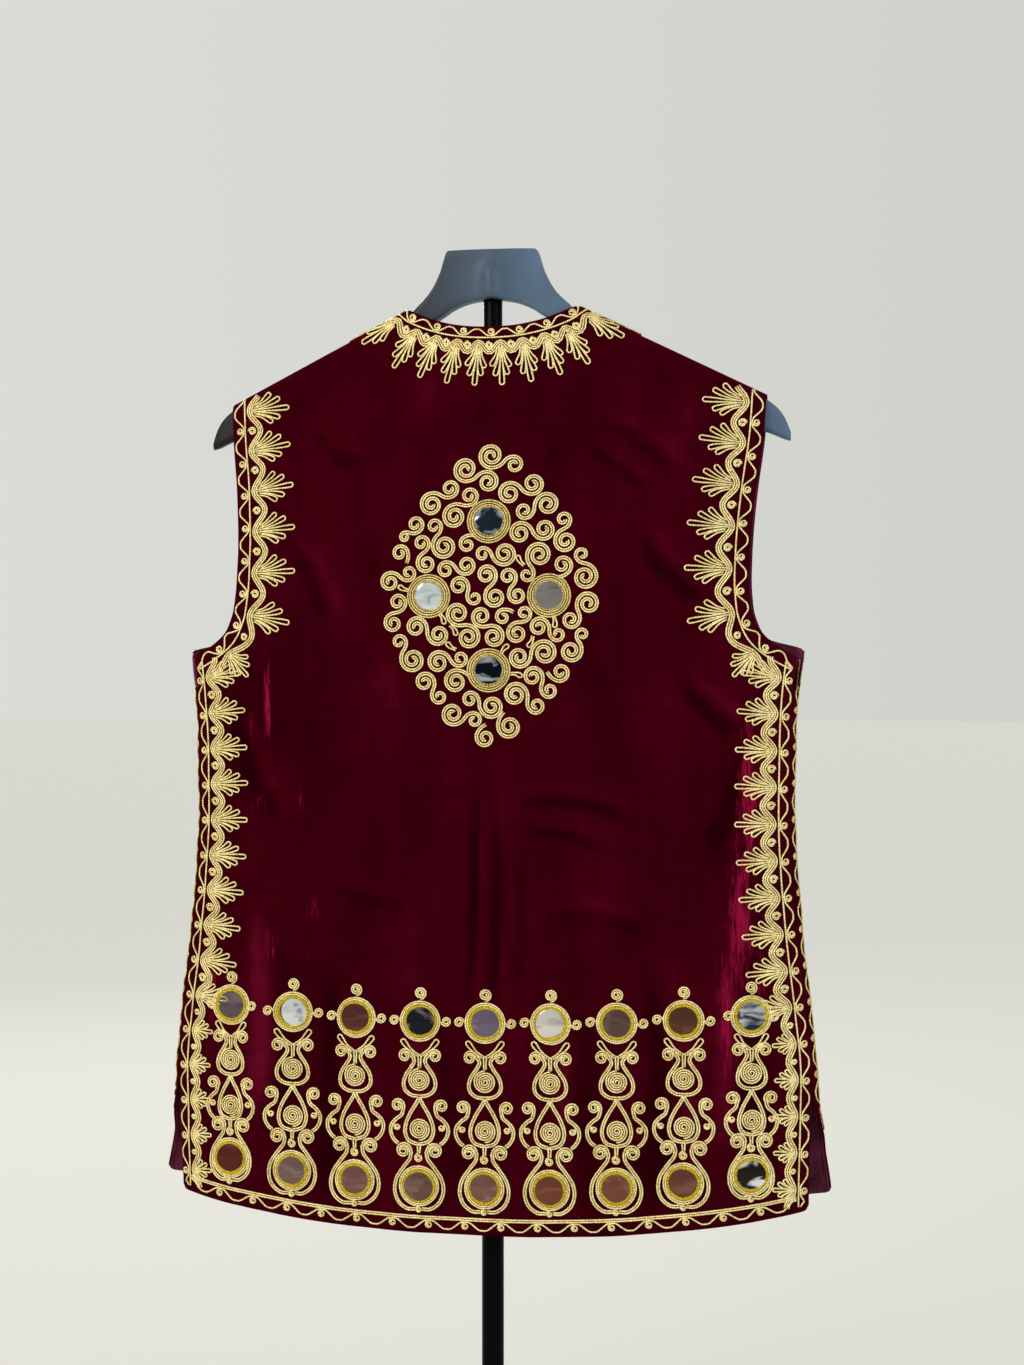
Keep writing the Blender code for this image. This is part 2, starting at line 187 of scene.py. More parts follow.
def clothPoint(q, z, side):
    x = widthOf[side](z) * np.interp(q, loopQ, loopX)
    roundOff = np.interp(q, loopQ, loopY)
    drop = shoulderLine(x) - z
    low = ease(drop / cut["shoulderDrop"])
    reach = np.where(low >= 1, roundOff, side * (1 + (np.abs(roundOff) - 1) * low))
    middle = armLine(x) * (1 - low) + cut["bodyY"] * low
    return np.stack([x, middle + side * cut["gap"] / 2 + clothDepth(drop, z) * reach, z + 0 * x], -1)


def clothNormal(q, z, side):
    nudge = 0.0015
    point = clothPoint(q, z, side)
    along = clothPoint(np.minimum(q + nudge, 1), z, side) - clothPoint(np.maximum(q - nudge, 0), z, side)
    normal = np.cross(along, point - clothPoint(q, z - nudge, side))
    normal[..., 0] = np.where((q <= nudge) | (q >= 1 - nudge), 0, normal[..., 0])
    drop = shoulderLine(point[..., 0]) - z
    turn = np.arccos(np.clip(1 - drop / cut["roll"], -1, 1))
    over = np.stack([cut["shoulderSlope"] * np.cos(turn), side * np.sin(turn), np.cos(turn)], -1)
    normal = np.where((drop < cut["roll"])[..., None], over, normal)
    return normal / np.linalg.norm(normal, axis=-1, keepdims=True)


def edgeQ(z, side):  # the seam, vent or armhole at this height
    seam = seamQ + side * cut["gap"] / 2 / 0.49
    hole = qOf(armholeHalf(z) / widthOf[side](z), side)
    if side == back:
        return np.where(z > cut["armpitZ"], hole, seam)
    q = np.where(z > cut["armpitZ"], seam + (hole - seam) * ease((z - cut["armpitZ"]) / cut["armpitTurn"]), seam)
    return np.where(z < cut["ventZ"], seam + (cut["openQ"] - seam) * ease((cut["ventZ"] - z) / cut["ventTurn"]), q)


def columnQ(w, z, side):
    inner = 0 if side == back else qOf(cut["opening"] / widthOf[side](z), side)
    return inner + w * (edgeQ(z, side) - inner)


def hemLine(x, side):
    rise = cut["hemRise"] * (np.abs(x) / cut["hemHalf"]) ** cut["neckCurve"]
    return cut["hemZ"] + rise + (cut["frontHemUp"] if side == front else 0)


def topLine(x, side):
    if side == back:
        neck = cut["neckZ"] - cut["neckDip"] * (1 - np.minimum(x / cut["neckHalf"], 1) ** cut["neckCurve"])
    else:
        share = np.clip((x - cut["opening"]) / (cut["neckHalf"] - cut["opening"]), 0, 1)
        neck = cut["vNeckZ"] + (cut["neckZ"] - cut["vNeckZ"]) * share ** cut["vNeckCurve"]
    return np.where(x >= cut["neckHalf"], shoulderLine(x), neck)


def settle(outline, w, z, side):
    z = z + 0 * w
    for _ in range(60):
        z = z + 0.5 * (outline(clothPoint(columnQ(w, z, side), z, side)[..., 0], side) - z)
    return z


def flattened(x, z):  # height on the flat cut, where the fold over the arm is laid out
    start = shoulderLine(x) - cut["roll"]
    return np.where(z > start, start + cut["roll"] * np.arcsin(np.clip((z - start) / cut["roll"], 0, 1)), z)


def folded(x, h):
    start = shoulderLine(x) - cut["roll"]
    turn = np.clip((h - start) / cut["roll"], 0, math.pi / 2)
    return np.where(h > start, start + cut["roll"] * np.sin(turn), h)


# Creases: two ends across and up, half width, depth (a negative one is a ridge) and bow, all in mm on the flat cut.
creases = {
    back: [
        (-12, 600, -16, 412, 5.0, 1.0, 4),
        (-3, 628, -6, 470, 4.0, 0.9, -3),
        (7, 605, 4, 404, 5.5, 1.1, 3),
        (16, 590, 21, 450, 4.5, 0.7, -4),
        (28, 560, 25, 430, 6.0, 0.6, 2),
        (24, 588, 118, 575, 7.0, 1.1, 6),
        (30, 566, 96, 549, 6.0, 0.9, 5),
        (84, 888, 150, 838, 9.0, 1.0, 6),
        (70, 868, 128, 826, 7.0, 0.8, 4),
        (118, 800, 178, 742, 11.0, 1.2, -8),
        (150, 690, 205, 640, 10.0, 1.3, -8),
        (206, 668, 168, 540, 12.0, 1.2, 9),
        (-205, 672, -160, 560, 12.0, 1.1, -9),
        (-150, 886, -96, 850, 9.0, 0.9, -5),
        (-168, 800, -128, 720, 10.0, 1.0, 7),
        (-120, 520, -60, 506, 8.0, 0.7, -4),
        (40, 500, 128, 486, 9.0, 0.8, 5),
        (-190, 520, -182, 330, 14.0, -1.4, 6),
        (-118, 470, -122, 262, 16.0, 1.2, -5),
        (-58, 440, -52, 256, 15.0, -1.1, 5),
        (66, 450, 62, 256, 15.0, -1.3, -5),
        (126, 480, 134, 260, 16.0, 1.2, 6),
        (196, 500, 190, 300, 14.0, -1.3, -6),
    ],
    front: [  # across is measured from centre back, so a front starts at about 265 and ends at about 530
        (312, 700, 350, 560, 12.0, 1.3, -9),
        (330, 880, 372, 760, 11.0, 1.1, 8),
        (352, 905, 398, 840, 8.0, 0.9, -5),
        (300, 640, 330, 560, 10.0, -1.0, 6),
        (360, 600, 440, 574, 9.0, 1.1, -7),
        (402, 540, 486, 528, 8.0, 0.9, 5),
        (330, 500, 322, 280, 15.0, -1.5, 6),
        (382, 470, 388, 264, 16.0, 1.4, -6),
        (436, 520, 430, 262, 15.0, -1.4, 5),
        (486, 600, 492, 270, 13.0, 1.3, -5),
        (420, 720, 408, 610, 9.0, 0.8, 5),
        (470, 780, 452, 640, 8.0, -0.8, -4),
    ],
}
drape = {"quietTop": 0.035, "deeper": 1.6}


def creaseField(s, h, side, spare, narrow=1.0):
    out = np.zeros_like(s)
    for x0, z0, x1, z1, half, deep, bow in creases[side]:
        for flip in (1,) if side == back else (1, -1):  # both fronts, the left one's a little shifted
            shift = 0 if flip == 1 else 9 * mm
            start = np.array([x0 * mm * flip, z0 * mm - shift])
            end = np.array([x1 * mm * flip, z1 * mm + shift])
            length = np.linalg.norm(end - start)
            ahead = (end - start) / length
            t = ((s - start[0]) * ahead[0] + (h - start[1]) * ahead[1]) / length
            off = (s - start[0]) * -ahead[1] + (h - start[1]) * ahead[0] - bow * mm * flip * 4 * t * (1 - t)
            wide = half * narrow * mm * (0.75 + 0.5 * np.clip(t, 0, 1))
            ends = ease(t / 0.3) * ease((1 - t) / 0.25)
            trough = np.exp(-((off / wide) ** 2))
            out -= deep * ends * (trough - spare * np.exp(-(((off - 1.7 * wide) / wide) ** 2)))
    return out


def relief(s, h, x, side):
    out = drape["deeper"] * mm * creaseField(s, h, side, 0.35)
    fall = ease((0.72 - h) / 0.4)
    out += fall * 1.1 * mm * np.sin(s * 58 + 1.3 + 2.0 * np.sin(h * 9)) * np.sin(s * 21 - h * 6)
    out += 0.35 * mm * np.sin(s * 96 + h * 31) * np.sin(h * 74 - s * 23 + 0.7)
    out += 0.16 * mm * np.sin(s * 240 + 3 * np.sin(h * 60)) * np.sin(h * 38 + s * 31)
    return out * ease((shoulderLine(x) - h) / drape["quietTop"])


def lay(s, h, side, lift=0.0):
    s, h = np.asarray(s, float), np.asarray(h, float)
    q = np.minimum(np.abs(s) / loopLength(h, side), 1)
    x = widthOf[side](h) * np.interp(q, loopQ, loopX)
    z = folded(x, h)
    q = np.minimum(np.abs(s) / loopLength(z, side), 1)
    point, normal = clothPoint(q, z, side), clothNormal(q, z, side)
    place = point + normal * (relief(s, h, x, side) + lift)[..., None]
    turn = np.stack([np.where(s < 0, -1.0, 1.0), np.ones_like(s), np.ones_like(s)], -1)
    return place * turn, normal * turn


def acrossAt(x, z, side):  # flat distance from centre back to a given x
    return np.sign(x) * qOf(np.abs(x) / widthOf[side](z), side) * loopLength(z, side)


# ---- materials
def linear(hexColour):
    values = [int(hexColour[i : i + 2], 16) / 255 for i in (1, 3, 5)]
    return (*[v / 12.92 if v <= 0.04045 else ((v + 0.055) / 1.055) ** 2.4 for v in values], 1)


def addNode(tree, kind, settings=None, values=None, links=None):
    node = tree.nodes.new(kind)
    for key, value in (settings or {}).items():
        setattr(node, key, value)
    for key, value in (values or {}).items():
        node.inputs[key].default_value = value
    for key, source in (links or {}).items():
        tree.links.new(source, node.inputs[key])
    return node


def newMaterial(name, **values):
    material = bpy.data.materials.new(name)
    material.use_nodes = True
    shader = material.node_tree.nodes["Principled BSDF"]
    for key, value in values.items():
        shader.inputs[key.replace("_", " ")].default_value = value
    return material, material.node_tree, shader


def ramp(tree, source, *stops):
    node = addNode(tree, "ShaderNodeValToRGB", links={"Fac": source})
    elements = node.color_ramp.elements
    while len(elements) < len(stops):
        elements.new(0.5)
    for element, (place, colour) in zip(elements, stops):
        element.position = place
        element.color = linear(colour) if isinstance(colour, str) else (colour, colour, colour, 1)
    return node.outputs["Color"]


# Silk velvet: short dense pile, so nearly black face on and a wine sheen where it turns away; its colour also holds
# pale flecks of flattened pile, painted sheen streaks down the curving sides, painted shade in the creases and painted
# light and shade along the crinkles
velvetLook = {"deep": "#260007", "face": "#410110", "raised": "#600a22", "fleckAndSheen": "#8c1036", "sheen": "#a00a38", "pileMm": 0.7, "blotchMm": 42}


def makeVelvet():
    material, tree, shader = newMaterial("silkVelvet", Roughness=0.9, IOR=1.45, Sheen_Weight=0.3)
    shader.inputs["Sheen Roughness"].default_value = 0.38
    shader.inputs["Sheen Tint"].default_value = linear(velvetLook["sheen"])
    shader.inputs["Specular IOR Level"].default_value = 0.0
    place = addNode(tree, "ShaderNodeTexCoord").outputs["Object"]
    nap = addNode(tree, "ShaderNodeMapping", values={"Scale": (1, 1, 0.35)}, links={"Vector": place}).outputs["Vector"]
    blotch = addNode(
        tree,
        "ShaderNodeTexNoise",
        values={"Scale": 1 / (velvetLook["blotchMm"] * mm), "Detail": 3, "Roughness": 0.55},
        links={"Vector": nap},
    )
    streak = addNode(
        tree, "ShaderNodeMapping", values={"Scale": (1, 1, 0.12)}, links={"Vector": place}
    ).outputs["Vector"]
    streaks = addNode(
        tree, "ShaderNodeTexNoise", values={"Scale": 260, "Detail": 2, "Roughness": 0.6}, links={"Vector": streak}
    )
    # painted shade and highlight along the crinkles, as horizontal bands in the colour
    level = addNode(tree, "ShaderNodeMapping", values={"Scale": (0.16, 1, 1)}, links={"Vector": place}).outputs["Vector"]
    paintedCrinkleShade = addNode(
        tree, "ShaderNodeTexNoise", values={"Scale": 150, "Detail": 3, "Roughness": 0.6}, links={"Vector": level}
    )
    tone = blotch.outputs["Fac"]
    # painted shade in the crease troughs and painted light on their flanks
    painted_crease_shade = addNode(tree, "ShaderNodeAttribute", {"attribute_name": "painted_crease_shade"}).outputs["Fac"]
    for share, source in ((0.22, streaks.outputs["Fac"]), (0.34, paintedCrinkleShade.outputs["Fac"]), (-0.34, painted_crease_shade)):
        tone = addNode(tree, "ShaderNodeMath", {"operation": "MULTIPLY_ADD"}, {1: share}, {0: source, 2: tone}).outputs[0]
    spread = addNode(tree, "ShaderNodeMapRange", values={"From Min": 0.35, "From Max": 1.5}, links={0: tone}).outputs[0]
    face = ramp(tree, spread, (0.05, velvetLook["deep"]), (0.52, velvetLook["face"]), (0.95, velvetLook["raised"]))
    # pale flecks of flattened pile, mixed with painted sheen streaks where the sides curve away
    wear_and_sheen = addNode(tree, "ShaderNodeAttribute", {"attribute_name": "wear_and_sheen"}).outputs["Fac"]
    patchNoise = addNode(
        tree, "ShaderNodeTexNoise", values={"Scale": 420, "Detail": 4, "Roughness": 0.7}, links={"Vector": streak}
    )
    threshold = addNode(
        tree, "ShaderNodeMath", {"operation": "MULTIPLY_ADD"}, {1: 0.26}, {0: wear_and_sheen, 2: patchNoise.outputs["Fac"]}
    )
    patchy = ramp(tree, threshold.outputs[0], (0.66, 0.0), (0.84, 1.0))
    fleck = addNode(tree, "ShaderNodeMath", {"operation": "MULTIPLY"}, links={0: wear_and_sheen, 1: patchy})
    colour = addNode(tree, "ShaderNodeMix", {"data_type": "RGBA"}, {"B": linear(velvetLook["fleckAndSheen"])})
    tree.links.new(fleck.outputs[0], colour.inputs["Factor"])
    tree.links.new(face, colour.inputs["A"])
    tree.links.new(colour.outputs["Result"], shader.inputs["Base Color"])
    pile = addNode(
        tree,
        "ShaderNodeTexNoise",
        values={"Scale": 1 / (velvetLook["pileMm"] * mm), "Detail": 2, "Roughness": 0.7},
        links={"Vector": place},
    )
    crinkle = addNode(
        tree, "ShaderNodeTexNoise", values={"Scale": 110, "Detail": 4, "Roughness": 0.55}, links={"Vector": place}
    )
    height = addNode(
        tree,
        "ShaderNodeMath",
        {"operation": "MULTIPLY_ADD"},
        {1: 3.0},
        {0: crinkle.outputs["Fac"], 2: pile.outputs["Fac"]},
    )
    bump = addNode(
        tree, "ShaderNodeBump", values={"Strength": 0.6, "Distance": 0.0009}, links={"Height": height.outputs[0]}
    )
    tree.links.new(bump.outputs["Normal"], shader.inputs["Normal"])
    return material


# Viscose satin: smooth floats, so a broken purple-maroon shine along each crinkle
def makeSatin():
    material, tree, shader = newMaterial("viscoseSatin", Roughness=0.38, IOR=1.25, Anisotropic=0.4)
    place = addNode(tree, "ShaderNodeTexCoord").outputs["Object"]
    cloudy = addNode(tree, "ShaderNodeTexNoise", values={"Scale": 45, "Detail": 3}, links={"Vector": place})
    colour = ramp(tree, cloudy.outputs["Fac"], (0.35, "#4a0d24"), (0.65, "#7c2748"))
    tree.links.new(colour, shader.inputs["Base Color"])
    thread = addNode(tree, "ShaderNodeTexWave", {"bands_direction": "X"}, {"Scale": 900}, {"Vector": place})
    crease = addNode(
        tree, "ShaderNodeTexNoise", values={"Scale": 130, "Detail": 2, "Distortion": 1.5}, links={"Vector": place}
    )
    height = addNode(
        tree,
        "ShaderNodeMath",
        {"operation": "MULTIPLY_ADD"},
        {1: 8.0},
        {0: crease.outputs["Fac"], 2: thread.outputs["Fac"]},
    )
    bump = addNode(
        tree, "ShaderNodeBump", values={"Strength": 0.5, "Distance": 0.0007}, links={"Height": height.outputs[0]}
    )
    tree.links.new(bump.outputs["Normal"], shader.inputs["Normal"])
    return material


# Metal-wrapped cord: strips of gilt foil wound on a thread and plied; its colour holds painted glints in small slanting
# beads, a painted highlight along the top of each cord and painted shade down its sides and in the ply grooves
def makeCordMaterial(name, painted_hollow_shade, face, painted_glint, lay):
    material, tree, shader = newMaterial(name, Metallic=0.62, Roughness=0.34)
    twine = addNode(tree, "ShaderNodeAttribute", {"attribute_name": "twine"}).outputs["Vector"]
    parts = addNode(tree, "ShaderNodeSeparateXYZ", links={"Vector": twine})
    turn = addNode(
        tree, "ShaderNodeMath", {"operation": "ARCTAN2"}, links={0: parts.outputs["Z"], 1: parts.outputs["Y"]}
    )
    advance = addNode(
        tree, "ShaderNodeMath", {"operation": "MULTIPLY"}, {1: math.tau / (lay * mm)}, {0: parts.outputs["X"]}
    )
    phase = addNode(
        tree,
        "ShaderNodeMath",
        {"operation": "MULTIPLY_ADD"},
        {1: 2.0},
        {0: turn.outputs[0], 2: advance.outputs[0]},
    )
    wound = addNode(tree, "ShaderNodeMath", {"operation": "SINE"}, links={0: phase.outputs[0]})
    # the ply pattern; it also drives the bump, and in the colour it paints shade in the grooves and highlight on the
    # plies
    share = addNode(tree, "ShaderNodeMath", {"operation": "MULTIPLY_ADD"}, {1: 0.5, 2: 0.5}, {0: wound.outputs[0]})
    place = addNode(tree, "ShaderNodeTexCoord").outputs["Object"]
    # painted glints: small bright specks
    paintedGlintSpeck = addNode(tree, "ShaderNodeTexNoise", values={"Scale": 640, "Detail": 1}, links={"Vector": place})
    wear = addNode(tree, "ShaderNodeTexNoise", values={"Scale": 60, "Detail": 2}, links={"Vector": place})
    # painted shading: lit along the top of each cord, shaded down its sides
    painted_cord_shading = addNode(tree, "ShaderNodeAttribute", {"attribute_name": "painted_cord_shading"}).outputs["Fac"]
    blend = addNode(
        tree, "ShaderNodeMath", {"operation": "MULTIPLY_ADD"}, {1: 1.3}, {0: paintedGlintSpeck.outputs["Fac"], 2: painted_cord_shading}
    )
    blend = addNode(
        tree, "ShaderNodeMath", {"operation": "MULTIPLY_ADD"}, {1: 0.3}, {0: share.outputs[0], 2: blend.outputs[0]}
    )
    mixed = addNode(
        tree, "ShaderNodeMath", {"operation": "MULTIPLY_ADD"}, {1: 0.5}, {0: wear.outputs["Fac"], 2: blend.outputs[0]}
    )
    spread = addNode(tree, "ShaderNodeMapRange", values={"From Min": 0.55, "From Max": 2.2}, links={0: mixed.outputs[0]})
    colour = ramp(tree, spread.outputs[0], (0.1, painted_hollow_shade), (0.5, face), (0.9, painted_glint))
    tree.links.new(colour, shader.inputs["Base Color"])
    bump = addNode(
        tree, "ShaderNodeBump", values={"Strength": 0.8, "Distance": 0.00025}, links={"Height": share.outputs[0]}
    )
    tree.links.new(bump.outputs["Normal"], shader.inputs["Normal"])
    return material


velvet, satin = makeVelvet(), makeSatin()
# painted shade, gilt colour, painted glints
goldCord = makeCordMaterial("giltCord", "#2a1b03", "#be9432", "#fff1b4", 1.9)
ringCord = makeCordMaterial("tarnishedCord", "#2a1c05", "#9a7a30", "#efd98c", 1.9)
yellowThread = makeCordMaterial("giltStitches", "#6b4700", "#dcb40c", "#ffee50", 0.8)
print("materials ready")


# ---- cords, drawn flat in mm as complex numbers: real is across, imaginary is up
cord = {"thick": 1.62, "apart": 0.86, "lift": 0.55, "turnStep": 30, "chord": 2.4}


def spiral(centre, outer, inner, turns, start, way, begin=None, hold=1.0):
    steps = turns * max(360 / cord["turnStep"], math.tau * outer / cord["chord"])
    turned = np.linspace(0, turns * math.tau, max(int(steps), 6) + 1)
    radius = outer + (inner - outer) * np.linspace(0, 1, len(turned)) ** hold
    if begin:
        radius = radius + (begin - outer) * np.clip(1 - turned / 1.1, 0, 1) ** 2
    return centre + radius * np.exp(1j * (math.radians(start) + way * turned))


def circle(centre, radius, start=0):
    return spiral(centre, radius, radius, 1.02, start, 1)


def through(points, per=5):
    p = np.array([2 * points[0] - points[1], *points, 2 * points[-1] - points[-2]])
    t = np.arange(per) / per
    runs = [
        0.5 * (2 * b + (c - a) * t + (2 * a - 5 * b + 4 * c - d) * t**2 + (3 * b - a - 3 * c + d) * t**3)
        for a, b, c, d in zip(p, p[1:], p[2:], p[3:])
    ]
    return np.concatenate([*runs, [points[-1]]])


def beside(path, off):
    ahead = np.gradient(path)
    return path + 1j * off * ahead / np.maximum(np.abs(ahead), 1e-9)


def double(path):
    return [beside(path, cord["apart"]), beside(path, -cord["apart"])]


def petal(base, tip, half, bow, startHalf=None):
    ahead = (tip - base) / abs(tip - base)
    end = tip - ahead * half
    t = np.linspace(0, 1, 8)
    middle = base + (end - base) * t + 1j * ahead * bow * np.sin(math.pi * t)
    startHalf = cord["apart"] if startHalf is None else startHalf
    wide = startHalf + (half - startHalf) * ease((t - 0.35) / 0.6)
    cap = end + half * ahead * np.exp(1j * np.radians([55, 20, -20, -55]))
    return np.concatenate([middle + 1j * ahead * wide, cap, (middle - 1j * ahead * wide)[::-1]])


def mirrored(strands):
    return [-np.conj(strand) for strand in strands]


palmetteRows = [  # tip along, tip inward, base along, base inward, bow
    (0.6, 38.4, 0.0, 5.5, 0.0),
    (8.8, 30.8, 1.4, 8.5, 0.9),
    (-6.8, 30.4, -1.4, 8.5, -0.7),
    (13.0, 22.8, 3.6, 9.0, 0.7),
    (-10.2, 24.2, -3.2, 9.0, -0.8),
]


def palmette(along, size, count, spread=1.0, lean=0.0):
    turn = np.exp(1j * math.radians(lean))
    return [
        along
        + turn
        * petal(
            complex(baseU * spread, baseV) * size,
            complex(tipU * spread, tipV) * size,
            1.85 * size**0.5,
            bow,
        )
        for tipU, tipV, baseU, baseV, bow in palmetteRows[:count]
    ]


def follow(path, inset):
    steps = np.abs(np.diff(path))
    travelled = np.concatenate([[0], np.cumsum(steps)])
    even = np.arange(0, travelled[-1], 1.0)
    line = np.interp(even, travelled, path.real) + 1j * np.interp(even, travelled, path.imag)
    ahead = np.gradient(line)
    soft = np.convolve(np.pad(ahead, 6, mode="edge"), np.ones(13) / 13, mode="valid")
    line = line + 1j * inset * soft / np.abs(soft)
    travelled = np.concatenate([[0], np.cumsum(np.abs(np.diff(line)))])
    ahead = np.gradient(line)
    ahead = np.convolve(np.pad(ahead, 4, mode="edge"), np.ones(9) / 9, mode="valid")
    length = travelled[-1]

    def place(local, held=None):  # a motif held at one place isn't bent by the path
        u = np.clip(local.real if held is None else np.full(len(local), held), 0, length)
        spot = np.interp(u, travelled, line.real) + 1j * np.interp(u, travelled, line.imag)
        way = np.interp(u, travelled, ahead.real) + 1j * np.interp(u, travelled, ahead.imag)
        way = way / np.abs(way)
        return spot + (local.real - u) * way + local.imag * 1j * way

    return length, place


def borderStrands(path, plan, sizeAt=None):
    length, place = follow(path, plan["inset"])
    sizeAt = sizeAt or (lambda share: 1.0)
    first, last = plan["firstRoot"], length - plan["lastRoot"]
    count = max(round((last - first) / plan["pitch"]), 1)
    roots = np.linspace(first, last, count + 1)
    pitch = roots[1] - roots[0]
    u = np.arange(plan["from"], length - plan["upTo"], plan["step"])
    strands = [beside(u + 0j, off) for off in plan["lines"]]
    waves = max(round((u[-1] - u[0]) / plan["wavePitch"]), 1)
    knots = np.linspace(u[0], u[-1], waves + 1) if plan["wavePitch"] != plan["pitch"] else roots + plan["waveShift"]
    wavePitch = knots[1] - knots[0]
    waved = np.clip(0.53 - 0.66 * np.cos(math.tau * (u - knots[0]) / wavePitch), 0, 1.1)
    waved = waved * ease((u - u[0]) / 5) * ease((u[-1] - u) / 5)
    strands.append(u - 1j * (1.4 + plan["wave"] * waved))
    held = [(spiral(knot - 4.5j, 2.9, 0.8, 1.6, 90, 1), knot) for knot in knots if u[0] + 3 < knot < u[-1] - 3]
    if plan["petals"]:
        reach = plan["pitch"] * 0.62
        u = np.arange(max(first - reach, 0), min(last + reach, length), plan["step"])
        scale = np.array([sizeAt(x / length) for x in u])
        swing = 0.5 - 0.5 * np.cos(math.tau * (u - first) / pitch)
        band = u + 1j * (4.1 + plan["bulge"] * scale * swing)
        strands += [beside(band, off * cord["apart"]) for off in (-2, 0, 2)]
        for pocket in (roots[:-1] + roots[1:]) / 2:
            size = sizeAt(pocket / length)
            held.append((spiral(pocket + 1j * (6.2 * (0.45 + 0.55 * size)), plan["eye"] * size, 0.8, 2.0, -90, 1), pocket))
        for root in roots:
            size = sizeAt(root / length)
            lean = plan["endLean"] * (1 - 2 * root / length)
            motif = palmette(root, plan["size"] * size, plan["petals"], plan["spread"] / size**0.4, lean)
            held += [(strand, root) for strand in motif]
    return [place(strand) for strand in strands] + [place(strand, root) for strand, root in held]


def layCords(name, strands, side, material, body, thick=None, sides=6, arch=0.0, lift=None):
    thick = cord["thick"] if thick is None else thick
    lift = cord["lift"] if lift is None else lift
    counts = [len(strand) for strand in strands]
    flat = np.concatenate(strands) * mm
    rise = np.concatenate([np.sin(np.linspace(0, math.pi, n)) for n in counts]) * arch
    level = np.concatenate([np.full(n, (i * 7 % 5) * 0.05) for i, n in enumerate(counts)])
    points, normals = lay(flat.real, flat.imag, side, (lift + level + rise) * mm)
    curve = bpy.data.curves.new(name, "CURVE")
    curve.dimensions = "3D"
    curve.bevel_depth = thick / 2 * mm
    curve.bevel_resolution = 1 if sides == 6 else 0
    curve.use_fill_caps = True
    along = []
    for first, count in zip(np.cumsum([0, *counts[:-1]]), counts):
        run = points[first : first + count]
        spline = curve.splines.new("POLY")
        spline.points.add(count - 1)
        spline.points.foreach_set("co", np.column_stack([run, np.ones(count)]).ravel())
        along.append(np.concatenate([[0], np.cumsum(np.linalg.norm(np.diff(run, axis=0), axis=1))]))
    drawn = bpy.data.objects.new(name, curve)
    bpy.context.scene.collection.objects.link(drawn)
    mesh = bpy.data.meshes.new_from_object(drawn.evaluated_get(bpy.context.evaluated_depsgraph_get()))
    bpy.data.objects.remove(drawn)
    caps = np.array([[run[-1], 0] for run in reversed(along)]).ravel()  # the caps come first, last cord first
    rings = np.concatenate([caps, *along])
    turn = np.arange(sides) * math.tau / sides
    twine = np.stack(
        [np.repeat(rings, sides), np.tile(np.cos(turn), len(rings)), np.tile(np.sin(turn), len(rings))], -1
    )
    attribute = mesh.attributes.new("twine", "FLOAT_VECTOR", "POINT")
    attribute.data.foreach_set("vector", twine.astype(np.float32).ravel())
    ends = np.cumsum(counts)
    order = [[end - 1, end - count] for end, count in zip(ends[::-1], counts[::-1])]
    order = np.repeat(np.concatenate([np.ravel(order), np.arange(len(points))]), sides)
    surface = np.zeros(len(mesh.vertices) * 3)
    mesh.vertices.foreach_get("co", surface)
    # painted shading for the cord colour: 1 along the top of each cord, 0 at its sides, below 0 underneath
    painted_cord_shading = ((surface.reshape(-1, 3) - points[order]) * normals[order]).sum(1) / (thick / 2 * mm)
    attribute = mesh.attributes.new("painted_cord_shading", "FLOAT", "POINT")
    attribute.data.foreach_set("value", painted_cord_shading.astype(np.float32))
    bm = bmesh.new()
    bm.from_mesh(mesh)
    bmesh.ops.remove_doubles(bm, verts=bm.verts, dist=1e-6)
    bm.to_mesh(mesh)
    bm.free()
    mesh.shade_smooth()
    mesh.materials.clear()
    mesh.materials.append(material)
    piece = bpy.data.objects.new(name, mesh)
    bpy.context.scene.collection.objects.link(piece)
    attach(piece, body)
    metres = sum(run[-1] for run in along)
    print(f"{name}: {len(strands)} cords, {metres:.1f} m, {2 * len(mesh.polygons)} triangles")
    return piece


# ---- edges of the flat cut, in mm, with the cloth on the left of the way along
def edgeLine(side, name, count=160):
    if name == "hem":
        w = np.linspace(0, 1, count)
        z = settle(hemLine, w, cut["hemZ"], side)
        s = columnQ(w, z, side) * loopLength(z, side)
        half = s + 1j * z
        return half[::-1] / mm if side == front else np.concatenate([-np.conj(half[::-1]), half[1:]]) / mm
    if name == "side":
        z = np.linspace(float(hemLine(0.25, side)) + 0.002, cut["armpitZ"], count)
        path = edgeQ(z, side) * loopLength(z, side) + 1j * z
        return (path if side == back else path[::-1]) / mm
    if name == "armhole":
        z = np.linspace(cut["armpitZ"], float(shoulderLine(armholeHalf(cut["armholeTopZ"]))), count)
        x = armholeHalf(z)
        h = flattened(x, z)
        path = edgeQ(z, side) * loopLength(z, side) + 1j * h
        return (path if side == back else path[::-1]) / mm
    start = 0 if side == back else cut["opening"]
    x = np.linspace(start, cut["neckHalf"], count)
    z = topLine(x, side)
    q = qOf(x / widthOf[side](z), side)
    path = q * loopLength(z, side) + 1j * flattened(x, z)
    if side == back:
        return np.concatenate([path[::-1], -np.conj(path[1:])]) / mm
    opening = np.linspace(float(hemLine(start, side)) + 0.002, cut["vNeckZ"], count)[:-1]
    low = qOf(start / widthOf[side](opening), side) * loopLength(opening, side) + 1j * opening
    return np.concatenate([low, path]) / mm


# ---- the back's mirrors: places in mm on the flat cut, from the solids
def mirrorPlace(node):
    low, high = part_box(node)
    x, z = (low.x + high.x) / 2, (low.z + high.z) / 2
    return complex(float(acrossAt(x, z, back)), z) / mm


mirrorNodes = sorted(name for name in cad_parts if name.startswith("mirror_"))
mirrorAt = {name: mirrorPlace(name) for name in mirrorNodes}
columnNumbers = range(1, 1 + sum(name.endswith("_top") and "column" in name for name in mirrorNodes))


